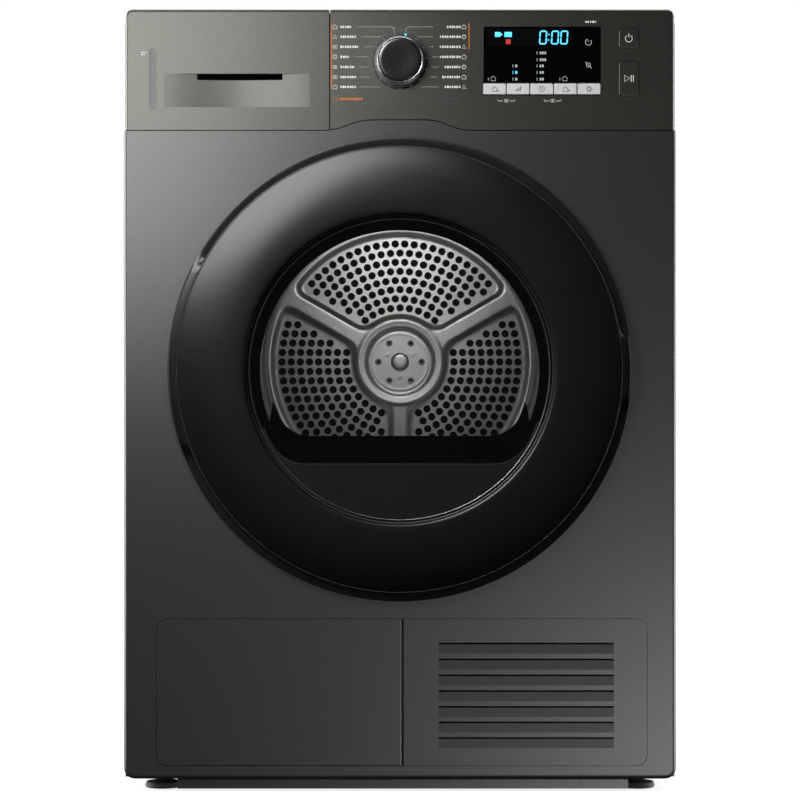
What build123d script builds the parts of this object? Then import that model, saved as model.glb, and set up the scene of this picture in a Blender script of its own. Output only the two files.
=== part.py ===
"""Front-loading heat-pump clothes dryer, as separate pieces.

Millimetres, +Z up, front towards -Y, +X to the right of someone facing the front.
The origin is on the floor, in the middle of the width and of the depth.
"""

from build123d import *
import math
import os

os.makedirs("parts", exist_ok=True)

# Cabinet
WIDTH = 600.0
HEIGHT = 850.0
FRONT_Y = -282.0
BACK_Y = 306.0
REAR_MOST_Y = 318.0
PANEL_T = 2.5
PANEL_RETURN = 20.0
PANEL_EDGE_R = 5.0
PANEL_BOTTOM_Z = 14.0
BOTTOM_CORNER_R = 12.0
SIDE_T = 2.0
SIDE_FLANGE = 14.0
SIDE_TOP_Z = 837.0
BASE_FLOOR_Z = 13.0
BASE_TOP_Z = 60.0
BASE_T = 3.0
TOP_Z = 838.0
TOP_FRONT_Y = -249.0

# Control band: its lower edge arches over the door
BAND_HALF_W = 298.0
BAND_SIDE_Z = 717.5
BAND_MID_Z = 729.0
BAND_GAP = 1.0
BAND_CORNER_R = 8.5
BAND_DEPTH = 32.0
BAND_WALL = 3.0
BAND_EDGE_R = 4.0
ARCH_LEFT = (-86.0, -27.0)
ARCH_RIGHT = (26.0, 80.0)
SEAM_X = -76.3
SEAM_GAP = 0.6

# Controls
KNOB_Z = 793.0
KNOB_R = 25.1
BEZEL_R = 26.7
SKIRT_R = 30.5
KNOB_PROUD = 17.0
SPINDLE_R = 4.0
DISPLAY_X = (89.8, 217.8)
DISPLAY_Z = (769.7, 830.6)
OPTION_Z = (756.5, 769.2)
OPTION_EDGES = (89.8, 115.3, 140.8, 166.6, 192.1, 217.8)
POWER_X = (237.1, 259.2)
POWER_Z = (807.0, 828.7)
START_Z = (755.1, 793.5)
BUTTON_GAP = 0.4
BUTTON_DEPTH = 9.0

# Door
DOOR_X = -0.5
DOOR_Z = 458.4
DOOR_R = 251.0
DOOR_FINE_R = 240.0
DOOR_WINDOW_R = 166.0
DOOR_BACK = 4.0
DOOR_SKIRT = 12.0
DOOR_CREST = 36.0
FRAME_R = 247.0
BOWL_MOUTH_R = 163.0
BOWL_END_R = 150.0
BOWL_T = 4.0
BOWL_FRONT = 18.0
BOWL_REAR = -110.0
CHORD_Z = 351.0
CHORD_RISE = 30.0
CHORD_CORNER_R = 45.0
SHELF_HALF_W = 98.0
PANE_BACK = 22.0
PANE_T = 4.0
MOUTH_R = 173.0
TUNNEL_T = 5.0
HINGE_X = 246.0
HINGE_PROUD = 9.0
KNUCKLE_R = 2.8
PIN_R = 1.6
PIN_CLEAR = 0.06
KNUCKLE_Z = (433.0, 443.0, 474.0, 484.0)
LEAF_Z = (444.0, 473.0)
NOTCH_Z = (431.0, 486.0)
LATCH_X = -229.0

# Drum
DRUM_Z = 474.0
DRUM_R = 274.0
DRUM_T = 1.5
DRUM_FRONT_Y = -205.0
DRUM_BACK_Y = 240.0
DRUM_LIP_R = 218.0
DISH_R = 178.0
DISH_DEPTH = 8.0
SHEET_T = 2.0
SECTOR_R = (62.0, 158.0)
ARM_W = 31.0
ARM_ANGLES = (30.0, 150.0, 270.0)
HOLE_R = 4.8
HOLE_ROWS = 8
HOLE_FIRST_R = 69.0
HOLE_LAST_R = 150.5
HUB_SCREW_R = 27.0
SHAFT_R = 12.0
SHAFT_CLEAR = 0.06
ROLLER_R = 20.0
ROLLER_ANGLE = 30.0
ROLLER_DEPTH = (-192.0, -170.0)
RUN_GAP = 0.5
AXLE_R = 5.0

# Drive
MOTOR_X = 195.0
MOTOR_Z = 150.0
MOTOR_R = 52.0
MOTOR_Y = (-40.0, 125.0)
PULLEY_R = 14.0
BELT_Y = (-64.0, -56.0)
BELT_T = 2.0
FAN_R = 74.0
FAN_Y = (146.0, 192.0)
BLOWER_R = 88.0
BLOWER_Y = (140.0, 198.0)

# Service openings low in the front panel
SERVICE_X = (-264.5, 268.5)
SERVICE_Z = (28.3, 188.4)
SERVICE_CORNER_R = 11.5
FLAP_X = (-264.0, 3.0)
FLAP_Z = (29.1, 187.9)
FLAP_T = 3.0
FLAP_BARREL_R = 2.6
FLAP_PIN_R = 0.9
GRILLE_LEFT_X = 4.0
LOUVRE_X = (42.0, 232.0)
LOUVRE_Z = (161.2, 143.9, 126.7, 109.7, 92.5, 75.7, 58.7)
LOUVRE_GAP = 2.0
LOUVRE_DIP = 1.0
LOUVRE_FALL = 11.0

# Condensate tank drawer
TANK_X = (-292.0, -82.0)
TANK_Y = (-250.0, 230.0)
TANK_Z = (762.0, 832.0)
TANK_T = 2.5
LEVEL_X = (-271.9, -264.2)
LEVEL_Z = (741.0, 807.0)
SCOOP_X = (-266.0, -88.0)
SCOOP_Z = (743.3, 779.6)
SCOOP_DEPTH = 6.0
SCOOP_LEAD = 0.2
POCKET_X = (-220.5, -127.6)
POCKET_Z = (773.0, 779.6)
POCKET_DEPTH = 20.0

# Feet
FOOT_X = 260.0
FOOT_Y = (-237.0, 255.0)
FOOT_R = 20.5
FOOT_PAD_H = 8.0
STEM_R = 5.0


def facing(y):
    """A plane at depth y that faces the user, with X to the right and Z up."""
    return Plane(origin=(0, y, 0), x_dir=(1, 0, 0), z_dir=(0, -1, 0))


def proud(p):
    """The plane standing p in front of the front panel."""
    return facing(FRONT_Y - p)


def centre(pair):
    """Middle of a pair of coordinates."""
    return (pair[0] + pair[1]) / 2


def block(x, y, z, mode=Mode.ADD):
    """A box between three pairs of coordinates."""
    with Locations((centre(x), centre(y), centre(z))):
        Box(x[1] - x[0], y[1] - y[0], z[1] - z[0], mode=mode)


def rod(x, z, radius, y, mode=Mode.ADD):
    """A cylinder along Y between two depths."""
    with Locations(Location((x, centre(y), z), (90, 0, 0))):
        Cylinder(radius=radius, height=y[1] - y[0], mode=mode)


def save(part, label):
    """Name a piece and write it."""
    part.label = label
    export_step(part, f"parts/{label}.step")


# ---------------------------------------------------------------- outlines

with BuildSketch() as panel_face:
    with BuildLine():
        Polyline(
            (ARCH_LEFT[0], BAND_SIDE_Z),
            (-WIDTH / 2, BAND_SIDE_Z),
            (-WIDTH / 2, PANEL_BOTTOM_Z),
            (WIDTH / 2, PANEL_BOTTOM_Z),
            (WIDTH / 2, BAND_SIDE_Z),
            (ARCH_RIGHT[1], BAND_SIDE_Z),
        )
        Bezier(
            (ARCH_RIGHT[1], BAND_SIDE_Z),
            (centre(ARCH_RIGHT), BAND_SIDE_Z),
            (centre(ARCH_RIGHT), BAND_MID_Z),
            (ARCH_RIGHT[0], BAND_MID_Z),
        )
        Line((ARCH_RIGHT[0], BAND_MID_Z), (ARCH_LEFT[1], BAND_MID_Z))
        Bezier(
            (ARCH_LEFT[1], BAND_MID_Z),
            (centre(ARCH_LEFT), BAND_MID_Z),
            (centre(ARCH_LEFT), BAND_SIDE_Z),
            (ARCH_LEFT[0], BAND_SIDE_Z),
        )
    make_face()
    fillet(panel_face.vertices().group_by(Axis.Y)[0], radius=BOTTOM_CORNER_R)

with BuildSketch() as band_face:
    with BuildLine():
        Polyline(
            (ARCH_LEFT[0], BAND_SIDE_Z + BAND_GAP),
            (-BAND_HALF_W, BAND_SIDE_Z + BAND_GAP),
            (-BAND_HALF_W, HEIGHT),
            (BAND_HALF_W, HEIGHT),
            (BAND_HALF_W, BAND_SIDE_Z + BAND_GAP),
            (ARCH_RIGHT[1], BAND_SIDE_Z + BAND_GAP),
        )
        Bezier(
            (ARCH_RIGHT[1], BAND_SIDE_Z + BAND_GAP),
            (centre(ARCH_RIGHT), BAND_SIDE_Z + BAND_GAP),
            (centre(ARCH_RIGHT), BAND_MID_Z + BAND_GAP),
            (ARCH_RIGHT[0], BAND_MID_Z + BAND_GAP),
        )
        Line((ARCH_RIGHT[0], BAND_MID_Z + BAND_GAP), (ARCH_LEFT[1], BAND_MID_Z + BAND_GAP))
        Bezier(
            (ARCH_LEFT[1], BAND_MID_Z + BAND_GAP),
            (centre(ARCH_LEFT), BAND_MID_Z + BAND_GAP),
            (centre(ARCH_LEFT), BAND_SIDE_Z + BAND_GAP),
            (ARCH_LEFT[0], BAND_SIDE_Z + BAND_GAP),
        )
    make_face()
    fillet(band_face.vertices().group_by(Axis.Y)[-1], radius=BAND_CORNER_R)

# ---------------------------------------------------------------- cabinet

FLAP_AXIS_X = FLAP_X[1] - FLAP_BARREL_R
FLAP_AXIS_Y = FRONT_Y + FLAP_BARREL_R
FLAP_PIN_Z = (SERVICE_Z[0] - 6.0, SERVICE_Z[1] + 6.0)
FLAP_BORE_Z = (FLAP_PIN_Z[0] - 0.5, FLAP_PIN_Z[1] + 0.5)


def flap_rod(radius, z, mode=Mode.ADD):
    """A vertical cylinder on the service flap's axis."""
    with Locations((FLAP_AXIS_X, FLAP_AXIS_Y, centre(z))):
        Cylinder(radius=radius, height=z[1] - z[0], mode=mode)


with BuildPart() as front_panel:
    with BuildSketch(facing(FRONT_Y)):
        add(panel_face.sketch)
    extrude(amount=-PANEL_RETURN)
    fillet(front_panel.edges().filter_by(Axis.Z).group_by(Axis.Y)[0], radius=PANEL_EDGE_R)
    hollow_y = (FRONT_Y + PANEL_T, FRONT_Y + PANEL_RETURN)
    block((-297, 297), hollow_y, (PANEL_BOTTOM_Z + 3, BAND_SIDE_Z - 3), mode=Mode.SUBTRACT)
    block((-24, 23), hollow_y, (BAND_SIDE_Z - 4, BAND_MID_Z - 3), mode=Mode.SUBTRACT)
    rod(DOOR_X, DOOR_Z, MOUTH_R + TUNNEL_T + 0.8, (FRONT_Y - 1, FRONT_Y + 21), mode=Mode.SUBTRACT)
    with BuildSketch(facing(FRONT_Y)):
        with Locations((centre(SERVICE_X), centre(SERVICE_Z))):
            RectangleRounded(
                SERVICE_X[1] - SERVICE_X[0], SERVICE_Z[1] - SERVICE_Z[0], SERVICE_CORNER_R
            )
    extrude(amount=-PANEL_RETURN, mode=Mode.SUBTRACT)
    block(
        (LATCH_X - 11, LATCH_X + 11),
        (FRONT_Y - 1, FRONT_Y + PANEL_RETURN),
        (DOOR_Z - 13, DOOR_Z + 13),
        mode=Mode.SUBTRACT,
    )
    # Front halves of the bores that hold the flap's pins
    flap_rod(FLAP_PIN_R + PIN_CLEAR, FLAP_BORE_Z, mode=Mode.SUBTRACT)
save(front_panel.part, "front_panel")


def side_panel(side):
    """A folded side sheet; side is -1 for the left and +1 for the right."""
    outer = side * WIDTH / 2
    inner = outer - side * SIDE_T
    fold = outer - side * SIDE_FLANGE
    with BuildPart() as sheet:
        with BuildSketch(Plane.XY.offset(PANEL_BOTTOM_Z)):
            with BuildLine():
                Polyline(
                    (fold, FRONT_Y + PANEL_RETURN + 0.5),
                    (outer, FRONT_Y + PANEL_RETURN + 0.5),
                    (outer, BACK_Y - 2.5),
                    (fold, BACK_Y - 2.5),
                    (fold, BACK_Y - 2.5 - SIDE_T),
                    (inner, BACK_Y - 2.5 - SIDE_T),
                    (inner, FRONT_Y + PANEL_RETURN + 0.5 + SIDE_T),
                    (fold, FRONT_Y + PANEL_RETURN + 0.5 + SIDE_T),
                    close=True,
                )
            make_face()
        extrude(amount=SIDE_TOP_Z - PANEL_BOTTOM_Z)
        # A shallow pressed bead runs along the sheet near its top and bottom.
        for z in (110.0, 740.0):
            x = (min(outer, outer - side * 0.8), max(outer, outer - side * 0.8))
            block(x, (-210, 250), (z - 4, z + 4), mode=Mode.SUBTRACT)
        # The front fold stops below the control band.
        x = (inner, fold + 1) if side < 0 else (fold - 1, inner)
        block(x, (FRONT_Y + PANEL_RETURN, TOP_FRONT_Y), (716, SIDE_TOP_Z), mode=Mode.SUBTRACT)
    return sheet.part


save(side_panel(-1), "left_side_panel")
save(side_panel(1), "right_side_panel")

AIR_HOLE_RING_R = 112.0
AIR_HOLE_R = 15.0

with BuildPart() as rear_panel:
    block((-297.5, 297.5), (BACK_Y - 2, BACK_Y), (62, 836))
    with BuildSketch(facing(BACK_Y - 2)):
        with Locations((0, DRUM_Z)):
            with PolarLocations(AIR_HOLE_RING_R, 12):
                Circle(AIR_HOLE_R)
        with Locations((-130, 150)):
            RectangleRounded(180, 70, 10)
    extrude(amount=-2, mode=Mode.SUBTRACT)
    with BuildSketch(facing(BACK_Y - 2)):
        with Locations((200, 150)):
            with GridLocations(0, 14, 1, 8):
                SlotOverall(110, 6)
    extrude(amount=-2, mode=Mode.SUBTRACT)
save(rear_panel.part, "rear_panel")

with BuildSketch() as duct_outline:
    with Locations((0, DRUM_Z)):
        Circle(178)
    with Locations((-60, 230)):
        RectangleRounded(340, 300, 30)

duct_inner = offset(duct_outline.sketch, amount=-12)

with BuildPart() as rear_duct_cover:
    with BuildSketch(facing(REAR_MOST_Y)):
        add(duct_outline.sketch)
    extrude(amount=REAR_MOST_Y - BACK_Y)
    fillet(rear_duct_cover.faces().sort_by(Axis.Y)[-1].edges(), radius=5)
    with BuildSketch(facing(REAR_MOST_Y - 2)):
        add(duct_inner)
    extrude(amount=REAR_MOST_Y - 2 - BACK_Y, mode=Mode.SUBTRACT)
save(rear_duct_cover.part, "rear_duct_cover")

with BuildPart() as top_cover:
    block((-299, 299), (TOP_FRONT_Y, BACK_Y), (TOP_Z, HEIGHT))
    fillet(top_cover.edges().group_by(Axis.Z)[-1].filter_by(Axis.Y), radius=4)
    block((-295, 295), (TOP_FRONT_Y + 3, BACK_Y - 3), (TOP_Z, HEIGHT - 3), mode=Mode.SUBTRACT)
save(top_cover.part, "top_cover")

KICK_X = (-242.0, 248.0)
KICK_Y = -276.0

with BuildPart() as base_tray:
    block((-296, 296), (FRONT_Y + PANEL_RETURN + 3, BACK_Y - 5), (BASE_FLOOR_Z, BASE_TOP_Z))
    block((-293, 293), (-256, 298), (BASE_FLOOR_Z + BASE_T, BASE_TOP_Z), mode=Mode.SUBTRACT)
    block((-2, 1), (-256, 298), (BASE_FLOOR_Z, 50))
    block(KICK_X, (KICK_Y, -256), (11, BASE_FLOOR_Z))
    block(KICK_X, (KICK_Y, KICK_Y + 3), (3, BASE_FLOOR_Z))
    with Locations([(KICK_X[0] + 8 + 18 * i, KICK_Y - 0.5, 7.5) for i in range(27)]):
        Box(2.5, 1, 7)
    for x in (-FOOT_X, FOOT_X):
        for y in FOOT_Y:
            with Locations((x, y, BASE_FLOOR_Z + 10)):
                Cylinder(radius=12, height=20)
            with Locations((x, y, BASE_FLOOR_Z + 11)):
                Cylinder(radius=STEM_R + 0.08, height=26, mode=Mode.SUBTRACT)
save(base_tray.part, "base_tray")


def foot():
    """A levelling foot: a tapered pad under a threaded stem, at the origin."""
    with BuildPart() as leveller:
        with BuildSketch(Plane.XZ):
            with BuildLine():
                Polyline(
                    (0, 0),
                    (FOOT_R - 1.5, 0),
                    (FOOT_R, 1.5),
                    (FOOT_R - 1.5, FOOT_PAD_H - 2),
                    (9, FOOT_PAD_H),
                    (STEM_R, FOOT_PAD_H + 1),
                    (STEM_R, 36),
                    (STEM_R - 1, 37),
                    (0, 37),
                    close=True,
                )
            make_face()
        revolve(axis=Axis.Z)
    return leveller.part


for end, y in zip(("front", "rear"), FOOT_Y):
    for hand, x in (("left", -FOOT_X), ("right", FOOT_X)):
        save(Pos(x, y, 0) * foot(), f"{end}_{hand}_foot")

with BuildPart() as cabinet_screws:
    for x in (-285, 285):
        for z in (100, 280, 460, 640, 815):
            rod(x, z, 4.5, (BACK_Y, BACK_Y + 2.5))
    for x in (-140, 140):
        rod(x, 815, 4.5, (BACK_Y, BACK_Y + 2.5))
save(cabinet_screws.part, "cabinet_screws")

with BuildPart() as drain_spigot:
    rod(255, 700, 14, (BACK_Y, BACK_Y + 2))
    rod(255, 700, 9, (BACK_Y, REAR_MOST_Y))
    rod(255, 700, 6.5, (BACK_Y, REAR_MOST_Y), mode=Mode.SUBTRACT)
save(drain_spigot.part, "drain_spigot")

# ---------------------------------------------------------------- control band

FASCIA_LEFT = SEAM_X + SEAM_GAP

with BuildPart() as control_fascia:
    with BuildSketch(facing(FRONT_Y)):
        add(band_face.sketch)
        with Locations(((FASCIA_LEFT + 320) / 2, 790)):
            Rectangle(320 - FASCIA_LEFT, 200, mode=Mode.INTERSECT)
    extrude(amount=-BAND_DEPTH)
    fillet(
        control_fascia.edges().group_by(Axis.Y)[0].filter_by(
            lambda e: e.center().X > BAND_HALF_W - 5 or e.center().Z > HEIGHT - 1
        ),
        radius=BAND_EDGE_R,
    )
    block(
        (FASCIA_LEFT + BAND_WALL, BAND_HALF_W - BAND_WALL),
        (FRONT_Y + BAND_WALL, FRONT_Y + BAND_DEPTH),
        (BAND_MID_Z + BAND_GAP + BAND_WALL, HEIGHT - BAND_WALL - 1),
        mode=Mode.SUBTRACT,
    )
    # Skirt ring round the knob, with its bore
    with BuildSketch(facing(FRONT_Y)):
        with Locations((0, KNOB_Z)):
            Circle(SKIRT_R)
            Circle(BEZEL_R + 0.8, mode=Mode.SUBTRACT)
    extrude(amount=2)
    rod(0, KNOB_Z, SPINDLE_R + 1, (FRONT_Y - 1, FRONT_Y + BAND_WALL), mode=Mode.SUBTRACT)
    with BuildSketch(facing(FRONT_Y - 1)):
        with Locations((centre(DISPLAY_X), centre(DISPLAY_Z))):
            Rectangle(DISPLAY_X[1] - DISPLAY_X[0], DISPLAY_Z[1] - DISPLAY_Z[0])
        with Locations((centre(DISPLAY_X), centre(OPTION_Z))):
            Rectangle(DISPLAY_X[1] - DISPLAY_X[0], OPTION_Z[1] - OPTION_Z[0] + 1)
        with Locations((centre(POWER_X), centre(POWER_Z))):
            RectangleRounded(POWER_X[1] - POWER_X[0], POWER_Z[1] - POWER_Z[0], 3)
        with Locations((centre(POWER_X), centre(START_Z))):
            RectangleRounded(POWER_X[1] - POWER_X[0], START_Z[1] - START_Z[0], 3)
    extrude(amount=-(BAND_WALL + 1), mode=Mode.SUBTRACT)
save(control_fascia.part, "control_fascia")

with BuildPart() as display_window:
    block(DISPLAY_X, (FRONT_Y - 0.6, FRONT_Y + 4), DISPLAY_Z)
    fillet(display_window.edges().group_by(Axis.Y)[0], radius=0.5)
save(display_window.part, "display_window")


def push_button(x, z, corner, label):
    """A short sprung cap that fills one opening of the fascia, less its gap."""
    with BuildPart() as cap:
        block(
            (x[0] + BUTTON_GAP, x[1] - BUTTON_GAP),
            (FRONT_Y - 1.6, FRONT_Y + BUTTON_DEPTH),
            (z[0] + BUTTON_GAP, z[1] - BUTTON_GAP),
        )
        fillet(cap.edges().filter_by(Axis.Y), radius=corner)
        fillet(cap.edges().group_by(Axis.Y)[0], radius=0.8)
    save(cap.part, label)


for number in range(5):
    push_button(OPTION_EDGES[number : number + 2], OPTION_Z, 1.2, f"option_button_{number + 1}")
push_button(POWER_X, POWER_Z, 2.8, "power_button")
push_button(POWER_X, START_Z, 2.8, "start_button")

BOARD_Y = (FRONT_Y + 14.0, FRONT_Y + 16.0)

with BuildPart() as control_board:
    block((-60, 285), BOARD_Y, (738, 842))
    rod(0, KNOB_Z, 12, (BOARD_Y[0] - 4, BOARD_Y[0]))
    block((95, 212), (BOARD_Y[0] - 8, BOARD_Y[0]), (776, 826))
    block((40, 78), (BOARD_Y[1], BOARD_Y[1] + 12), (745, 790))
    block((-50, -20), (BOARD_Y[1], BOARD_Y[1] + 9), (745, 770))
    block((230, 275), (BOARD_Y[1], BOARD_Y[1] + 14), (745, 775))
save(control_board.part, "control_board")

with BuildPart() as knob_cap:
    with BuildSketch(Plane.XZ):
        with BuildLine():
            Polyline(
                (0, 0.6),
                (BEZEL_R - 2, 0.6),
                (KNOB_R - 1.3, 13),
                (KNOB_R - 2.3, KNOB_PROUD - 1.2),
                (KNOB_R - 4, KNOB_PROUD),
                (0, KNOB_PROUD - 1.0),
                close=True,
            )
        make_face()
    revolve(axis=Axis.Z)
    with Locations((0, 0, -4.4)):
        Cylinder(radius=SPINDLE_R, height=10.4)
knob_place = Pos(0, FRONT_Y, KNOB_Z) * Rot(90, 0, 0)
save(knob_place * knob_cap.part, "knob_cap")

with BuildPart() as knob_bezel:
    with BuildSketch(Plane.XZ):
        with BuildLine():
            Polyline(
                (BEZEL_R - 2, 0.6),
                (BEZEL_R, 0.6),
                (BEZEL_R, 9),
                (KNOB_R - 0.2, 13.8),
                (KNOB_R - 1.3, 13),
                close=True,
            )
        make_face()
    revolve(axis=Axis.Z)
save(knob_place * knob_bezel.part, "knob_bezel")

# ---------------------------------------------------------------- condensate drawer

with BuildPart() as scoop:
    # The floor swells in and out along the drawer in one smooth wave
    with BuildSketch(Plane.XY.offset(SCOOP_Z[0])):
        with BuildLine():
            scoop_quarter = (SCOOP_X[1] - SCOOP_X[0]) / 4
            scoop_half_depth = (SCOOP_DEPTH - SCOOP_LEAD) / 2
            Spline(
                (SCOOP_X[0], FRONT_Y - SCOOP_LEAD),
                (SCOOP_X[0] + scoop_quarter, FRONT_Y + scoop_half_depth),
                (centre(SCOOP_X), FRONT_Y + SCOOP_DEPTH),
                (SCOOP_X[1] - scoop_quarter, FRONT_Y + scoop_half_depth),
                (SCOOP_X[1], FRONT_Y - SCOOP_LEAD),
                tangents=[(1, 0), (1, 0)],
            )
            Polyline(
                (SCOOP_X[1], FRONT_Y - SCOOP_LEAD),
                (SCOOP_X[1], FRONT_Y - 2),
                (SCOOP_X[0], FRONT_Y - 2),
                (SCOOP_X[0], FRONT_Y - SCOOP_LEAD),
            )
        make_face()
    extrude(amount=SCOOP_Z[1] - SCOOP_Z[0])
    # Finger pocket, undercut behind the upper edge
    block(POCKET_X, (FRONT_Y, FRONT_Y + POCKET_DEPTH), POCKET_Z)
    block(POCKET_X, (FRONT_Y + 6, FRONT_Y + POCKET_DEPTH), (POCKET_Z[0], POCKET_Z[1] + 14))

with BuildPart() as tank_front:
    with BuildSketch(facing(FRONT_Y)):
        add(band_face.sketch)
        with Locations(((SEAM_X - SEAM_GAP - 320) / 2, 790)):
            Rectangle(320 + SEAM_X - SEAM_GAP, 200, mode=Mode.INTERSECT)
    extrude(amount=-BAND_DEPTH)
    fillet(
        tank_front.edges().group_by(Axis.Y)[0].filter_by(
            lambda e: e.center().X < 5 - BAND_HALF_W or e.center().Z > HEIGHT - 1
        ),
        radius=BAND_EDGE_R,
    )
    block(
        (-BAND_HALF_W + BAND_WALL, SEAM_X - SEAM_GAP - BAND_WALL),
        (FRONT_Y + BAND_WALL, FRONT_Y + BAND_DEPTH - BAND_WALL),
        (BAND_SIDE_Z + BAND_GAP + BAND_WALL, 740),
        mode=Mode.SUBTRACT,
    )
    add(scoop.part, mode=Mode.SUBTRACT)
    with BuildSketch(facing(FRONT_Y)):
        with Locations((centre(LEVEL_X), centre(LEVEL_Z))):
            SlotOverall(LEVEL_Z[1] - LEVEL_Z[0], LEVEL_X[1] - LEVEL_X[0], rotation=90)
    extrude(amount=-1.2, mode=Mode.SUBTRACT)
save(tank_front.part, "tank_front")

with BuildPart() as water_tank:
    block(TANK_X, TANK_Y, TANK_Z)
    fillet(water_tank.edges().filter_by(Axis.Y), radius=10)
    block(
        (TANK_X[0] + TANK_T, TANK_X[1] - TANK_T),
        (TANK_Y[0] + TANK_T, TANK_Y[1] - TANK_T),
        (TANK_Z[0] + TANK_T + 3, TANK_Z[1] - TANK_T - 3),
        mode=Mode.SUBTRACT,
    )
    with Locations((centre(TANK_X), 170, TANK_Z[1])):
        Cylinder(radius=22, height=20, mode=Mode.SUBTRACT)
save(water_tank.part, "water_tank")

with BuildPart() as tank_tray:
    block((-297, -77), (-248, 270), (756, 759))
    block((-297, -295), (-248, 270), (759, 780))
    block((-79, -77), (-248, 270), (759, 800))
    block((-297, -77), (268, 270), (759, 800))
save(tank_tray.part, "tank_tray")

# ---------------------------------------------------------------- service openings

with BuildPart() as service_flap:
    block((FLAP_X[0], FLAP_AXIS_X), (FRONT_Y, FRONT_Y + FLAP_T), FLAP_Z)
    fillet(service_flap.edges().filter_by(Axis.Y).group_by(Axis.X)[0], radius=11)
    flap_rod(FLAP_BARREL_R, FLAP_Z)
    flap_rod(FLAP_PIN_R, FLAP_PIN_Z)
    # Finger rib behind the free edge
    block((FLAP_X[0] + 12, FLAP_X[0] + 16), (FRONT_Y + FLAP_T, FRONT_Y + FLAP_T + 2), (60, 150))
save(service_flap.part, "service_flap")

with BuildPart() as vent_grille:
    # Frame behind the front panel, round the flap opening
    block((-284, 284), (FRONT_Y + PANEL_T, FRONT_Y + 12), (18, 200))
    frame_y = (FRONT_Y + PANEL_T, FRONT_Y + 12)
    block((FLAP_X[0] - 0.5, GRILLE_LEFT_X - 0.5), frame_y, SERVICE_Z, mode=Mode.SUBTRACT)
    block((GRILLE_LEFT_X + 3, 265), (FRONT_Y + 3, FRONT_Y + 12), (34, 184), mode=Mode.SUBTRACT)
    with BuildSketch(facing(FRONT_Y)):
        with Locations(((GRILLE_LEFT_X + 268) / 2, centre(SERVICE_Z))):
            Rectangle(268 - GRILLE_LEFT_X, SERVICE_Z[1] - SERVICE_Z[0] - 1)
    extrude(amount=-3.5)
    fillet(
        vent_grille.edges().filter_by(Axis.Y).filter_by(
            lambda e: abs(e.center().X - 268) < 0.1 and e.center().Y < FRONT_Y + 2
        ),
        radius=11,
    )
    block((LOUVRE_X[0] - 3, LOUVRE_X[1] + 3), (FRONT_Y + 3, FRONT_Y + 9), (50, 176))
    for z in LOUVRE_Z:
        with BuildSketch(Plane.YZ.offset(LOUVRE_X[0])):
            with BuildLine():
                Polyline(
                    (FRONT_Y - 0.5, z + LOUVRE_GAP / 2),
                    (FRONT_Y + 10, z + LOUVRE_GAP / 2),
                    (FRONT_Y + 10, z - LOUVRE_GAP / 2),
                    (FRONT_Y + LOUVRE_DIP, z - LOUVRE_GAP / 2),
                    (FRONT_Y, z - LOUVRE_FALL),
                    (FRONT_Y - 0.5, z - LOUVRE_FALL),
                    close=True,
                )
            make_face()
        extrude(amount=LOUVRE_X[1] - LOUVRE_X[0], mode=Mode.SUBTRACT)
    flap_rod(FLAP_PIN_R + PIN_CLEAR, FLAP_BORE_Z, mode=Mode.SUBTRACT)
save(vent_grille.part, "vent_grille")

# ---------------------------------------------------------------- door

door_axis = Axis((DOOR_X, 0, DOOR_Z), (0, 1, 0))
door_plane = Plane(origin=(DOOR_X, FRONT_Y, DOOR_Z), x_dir=(1, 0, 0), z_dir=(0, 0, -1))

with BuildPart() as hinge_notch:
    block((235, 256), (FRONT_Y - 12.8, FRONT_Y - 2), NOTCH_Z)

with BuildPart() as door_ring:
    with BuildSketch(door_plane):
        with BuildLine():
            Polyline(
                (FRAME_R, DOOR_BACK),
                (DOOR_R - 1, DOOR_BACK),
                (DOOR_R, DOOR_BACK + 1),
                (DOOR_R, DOOR_SKIRT),
                (DOOR_R - 0.9, DOOR_SKIRT + 2),
                (DOOR_R - 3, DOOR_SKIRT + 3.5),
                (DOOR_FINE_R + 1.4, 18.0),
                (DOOR_FINE_R + 0.9, 17.0),
                (DOOR_FINE_R, 17.0),
                (DOOR_FINE_R - 0.5, 18.5),
            )
            ThreePointArc((DOOR_FINE_R - 0.5, 18.5), (209, 30.6), (173, DOOR_CREST))
            Polyline(
                (173, DOOR_CREST),
                (169.5, DOOR_CREST - 0.8),
                (DOOR_WINDOW_R + 0.5, DOOR_CREST - 4),
                (DOOR_WINDOW_R, PANE_BACK),
                (DOOR_WINDOW_R + 3, PANE_BACK - 2),
                (DOOR_WINDOW_R + 5, DOOR_CREST - 4),
            )
            ThreePointArc(
                (DOOR_WINDOW_R + 5, DOOR_CREST - 4), (208, 27), (DOOR_FINE_R, 13)
            )
            Polyline((DOOR_FINE_R, 13), (FRAME_R, DOOR_BACK + 6), (FRAME_R, DOOR_BACK))
        make_face()
    revolve(axis=door_axis)
    add(hinge_notch.part, mode=Mode.SUBTRACT)
save(door_ring.part, "door_ring")

with BuildPart() as door_frame:
    with BuildSketch(proud(DOOR_BACK)):
        with Locations((DOOR_X, DOOR_Z)):
            Circle(FRAME_R)
            Circle(BOWL_MOUTH_R + 2, mode=Mode.SUBTRACT)
    extrude(amount=4)
    with BuildSketch(proud(DOOR_BACK)):
        with Locations((DOOR_X, DOOR_Z)):
            Circle(BOWL_MOUTH_R + 9)
            Circle(BOWL_MOUTH_R + 2, mode=Mode.SUBTRACT)
    extrude(amount=10)
    # A shallow hollow behind the left edge for the fingers
    with BuildSketch(proud(DOOR_BACK)):
        with Locations((DOOR_X, DOOR_Z)):
            Circle(243)
            Circle(226, mode=Mode.SUBTRACT)
            with Locations((-240, -60)):
                Rectangle(60, 150, mode=Mode.INTERSECT)
    extrude(amount=2.5, mode=Mode.SUBTRACT)
    add(hinge_notch.part, mode=Mode.SUBTRACT)
save(door_frame.part, "door_frame")


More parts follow.
